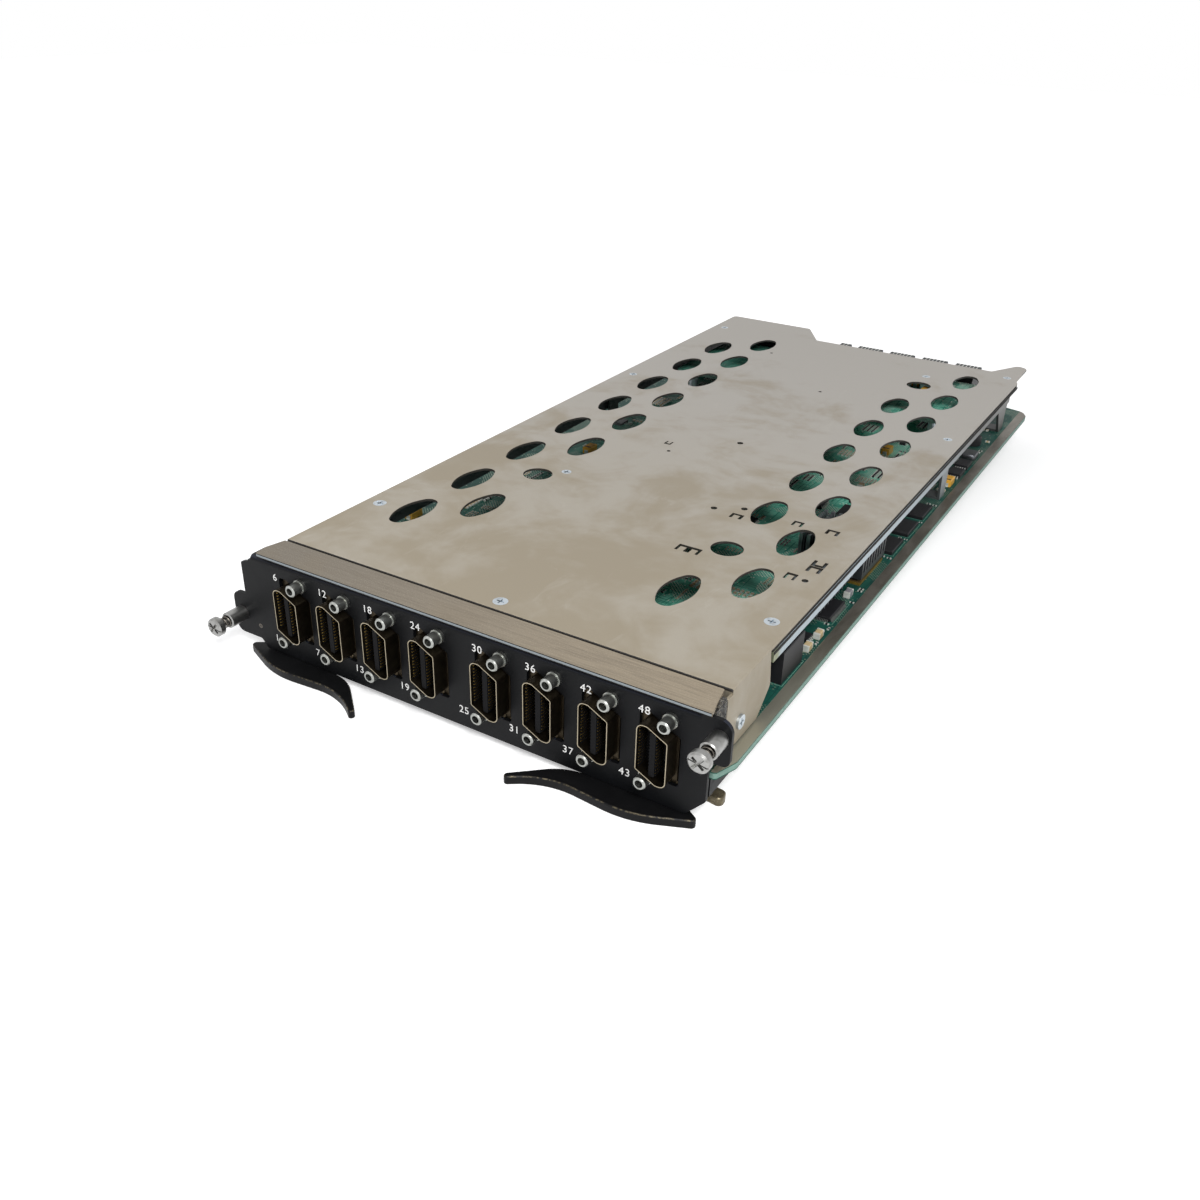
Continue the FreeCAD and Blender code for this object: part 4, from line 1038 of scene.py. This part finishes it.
def frayed_gasket(made):
    """Loose bright threads of the conductive cloth at the strip's right end."""
    draw = random.Random(thread_seed)
    low, high = part_box("end_gasket")
    threads = Forge()
    for strand in range(thread_count):
        point = Vector((
            draw.uniform(high.x - 1.5, high.x - 0.2), draw.uniform(low.y, high.y),
            draw.uniform(high.z - 9.0, high.z - 1.0),
        ))
        heading = Vector((draw.uniform(-0.3, 0.3), draw.uniform(-1, 1), draw.uniform(-0.6, 1)))
        heading.normalize()
        points = [point.copy()]
        for step in range(thread_steps):
            bend = Vector([draw.uniform(-0.7, 0.7) for axis in range(3)])
            heading = (heading + bend).normalized()
            point = point + heading * thread_step
            point.x = min(max(point.x, high.x - 1.6), high.x + 0.25)
            point.y = min(max(point.y, low.y - 0.4), high.y + 0.4)
            point.z = min(point.z, high.z + 0.1)
            points.append(point.copy())
        threads.thread(points, thread_radius)
    new_piece("gasket_threads", threads.cast("threads"), made["mesh_gasket"])


def rear_stiffener(made):
    """Dark folded stiffener under the cover's rear edge at the left, with a closing end."""
    under = part_box("top_cover")[1].z - 1.0
    back = part_box("top_cover")[1].y
    fold = Forge()
    section = [(-16.0, 0.0), (-16.0, -1.0), (-9.0, -1.0), (-9.0, -15.0), (-8.0, -15.0), (-8.0, 0.0)]
    left = stiffener_left
    fold.prism([(left, back + u, under + v) for u, v in section], (stiffener_width, 0, 0))
    closing = [(-40.0, -1.1), (-16.2, -1.1), (-16.2, -20.0), (-36.0, -20.0)]
    fold.prism([(left + 0.1, back + u, under + v) for u, v in closing], (0.9, 0, 0))
    new_piece("rear_stiffener", fold.cast("stiffener", 0.2), made["black_plate"])


def rear_capacitor(made):
    """Yellow moulded capacitor on the rear board, seen through the last round vent."""
    block = Forge()
    base = part_box("rear_board")[1].z
    block.bar((55.9, 349.8, base), (60.2, 357.1, base + 5.0))
    new_piece("rear_capacitor", block.cast("block", 0.4), made["tantalum"])


def gasket_lips(made):
    """The gaskets' edges that hang over the top of each rail's outer face."""
    draw = random.Random(lip_seed)
    for side in ("left", "right"):
        rail_low, rail_high = part_box("side_rail_" + side)
        pad_low, pad_high = part_box("cover_gasket_" + side)
        face, sign = (rail_high.x, 1) if side == "right" else (rail_low.x, -1)
        rings = []
        for i in range(lip_steps + 1):
            y = pad_low.y + (pad_high.y - pad_low.y) * i / lip_steps
            foot = pad_low.z - 1.0 + draw.uniform(-0.08, 0.08)
            near, far = face - sign * 0.05, face + sign * 0.14
            top = pad_low.z
            rings.append([(near, y, foot), (far, y, foot), (far, y, top), (near, y, top + 0.2)])
        lip = Forge()
        lip.loops(rings)
        new_piece("gasket_lip_" + side, lip.cast("lip"), made["gasket"])


def ear_dimple(made):
    """Small countersunk dimple on the left ear."""
    ring = Forge()
    profile = [(1.0, -0.02), (0.95, 0.03), (0.7, 0.05), (0.35, 0.0)]
    ring.turned(profile, (-94.8, 0.0, 12.9), (0, -1, 0), 20)
    new_piece("ear_dimple", ring.cast("dimple"), made["spring_wire"])


def port_numbers(white):
    """Plain white port numbers, upper and lower, on the front of the plate."""
    for number, x, z in upper_ports + lower_ports:
        text = bpy.data.curves.new("number", "FONT")
        text.body = str(number)
        text.align_x = "CENTER"
        text.size = number_height / capital_share * MM
        text.offset = stroke_growth * MM
        text.extrude = number_thick / 2.0 * MM
        text.space_character = number_spacing
        letters = bpy.data.objects.new("number", text)
        mesh = bpy.data.meshes.new_from_object(letters)
        bpy.data.objects.remove(letters)
        place = at(x + port_left_shift, -number_thick / 2.0, z - number_height / 2.0)
        mesh.transform(Matrix.Translation(place) @ Matrix.Rotation(math.radians(90), 4, "X"))
        new_piece("port_number_%d" % number, mesh, white)


def printed_white():
    """White ink of the port numbers."""
    finish = Finish("printed_white")
    speck = finish.noise(0.5, 3.0, 0.6)
    color = finish.mix(speck, rgb(214, 214, 212), rgb(240, 240, 238))
    return finish.surface(color, 0.6, 0.0, speck, 0.01)


def floor_and_light():
    """A wide pale floor, soft light from all round and the lamps."""
    mesh = bpy.data.meshes.new("floor")
    signs = ((-1, -1), (1, -1), (1, 1), (-1, 1))
    mesh.from_pydata([(i * floor_reach, j * floor_reach, 0) for i, j in signs], [], [(0, 1, 2, 3)])
    mesh.materials.append(stage_finish())
    floor = bpy.data.objects.new("floor", mesh)
    bpy.context.scene.collection.objects.link(floor)
    world = bpy.data.worlds.new("studio")
    bpy.context.scene.world = world
    world.use_nodes = True
    graph = Graph(world.node_tree)
    strength = graph.mix(graph.seen_directly(), world_light, WHITE)
    sky = graph.node("ShaderNodeBackground", inputs={"Color": strength, "Strength": 1.0})
    graph.node("ShaderNodeOutputWorld", inputs={"Surface": sky})
    for lamp in lamps:
        area_lamp(*lamp)


def area_lamp(name, place, across, power):
    """A soft square lamp that looks at the middle of the card."""
    lamp = bpy.data.lights.new(name, "AREA")
    lamp.size = across * MM
    lamp.energy = power
    held = bpy.data.objects.new(name, lamp)
    held.location = Vector(place) * MM
    held.rotation_euler = (-held.location).to_track_quat("-Z", "Y").to_euler()
    bpy.context.scene.collection.objects.link(held)


def photo_camera():
    """Camera at the photograph's place, turned a little about its own axis."""
    lens = bpy.data.cameras.new("camera")
    lens.lens = camera_lens
    lens.sensor_width = camera_film
    lens.clip_start = 0.01
    camera = bpy.data.objects.new("camera", lens)
    bpy.context.scene.collection.objects.link(camera)
    azimuth = math.radians(camera_azimuth)
    elevation = math.radians(camera_elevation)
    level = math.cos(elevation)
    back = Vector((math.sin(azimuth) * level, -math.cos(azimuth) * level, math.sin(elevation)))
    turn = back.to_track_quat("Z", "Y").to_matrix().to_4x4()
    turn = turn @ Matrix.Rotation(math.radians(camera_roll), 4, "Z")
    place = Vector(camera_target) * MM + back * camera_distance * MM
    camera.matrix_world = Matrix.Translation(place) @ turn
    bpy.context.scene.camera = camera


finishes = finish_the_card()
for make in (contact_gold, solder_tin, pin_tin, resistor_black, board_ink):
    finishes[make.__name__] = make()
socket_contacts(finishes)
shell_springs(finishes)
package_pins(finishes)
chip_marks(finishes)
capacitor_ends(finishes)
small_parts(finishes)
edge_parts(finishes)
backplane_metal(finishes)
solder_joints(finishes)
frayed_gasket(finishes)
rear_stiffener(finishes)
rear_capacitor(finishes)
gasket_lips(finishes)
ear_dimple(finishes)
port_numbers(printed_white())
floor_and_light()
photo_camera()
bpy.context.scene.view_settings.view_transform = "Standard"
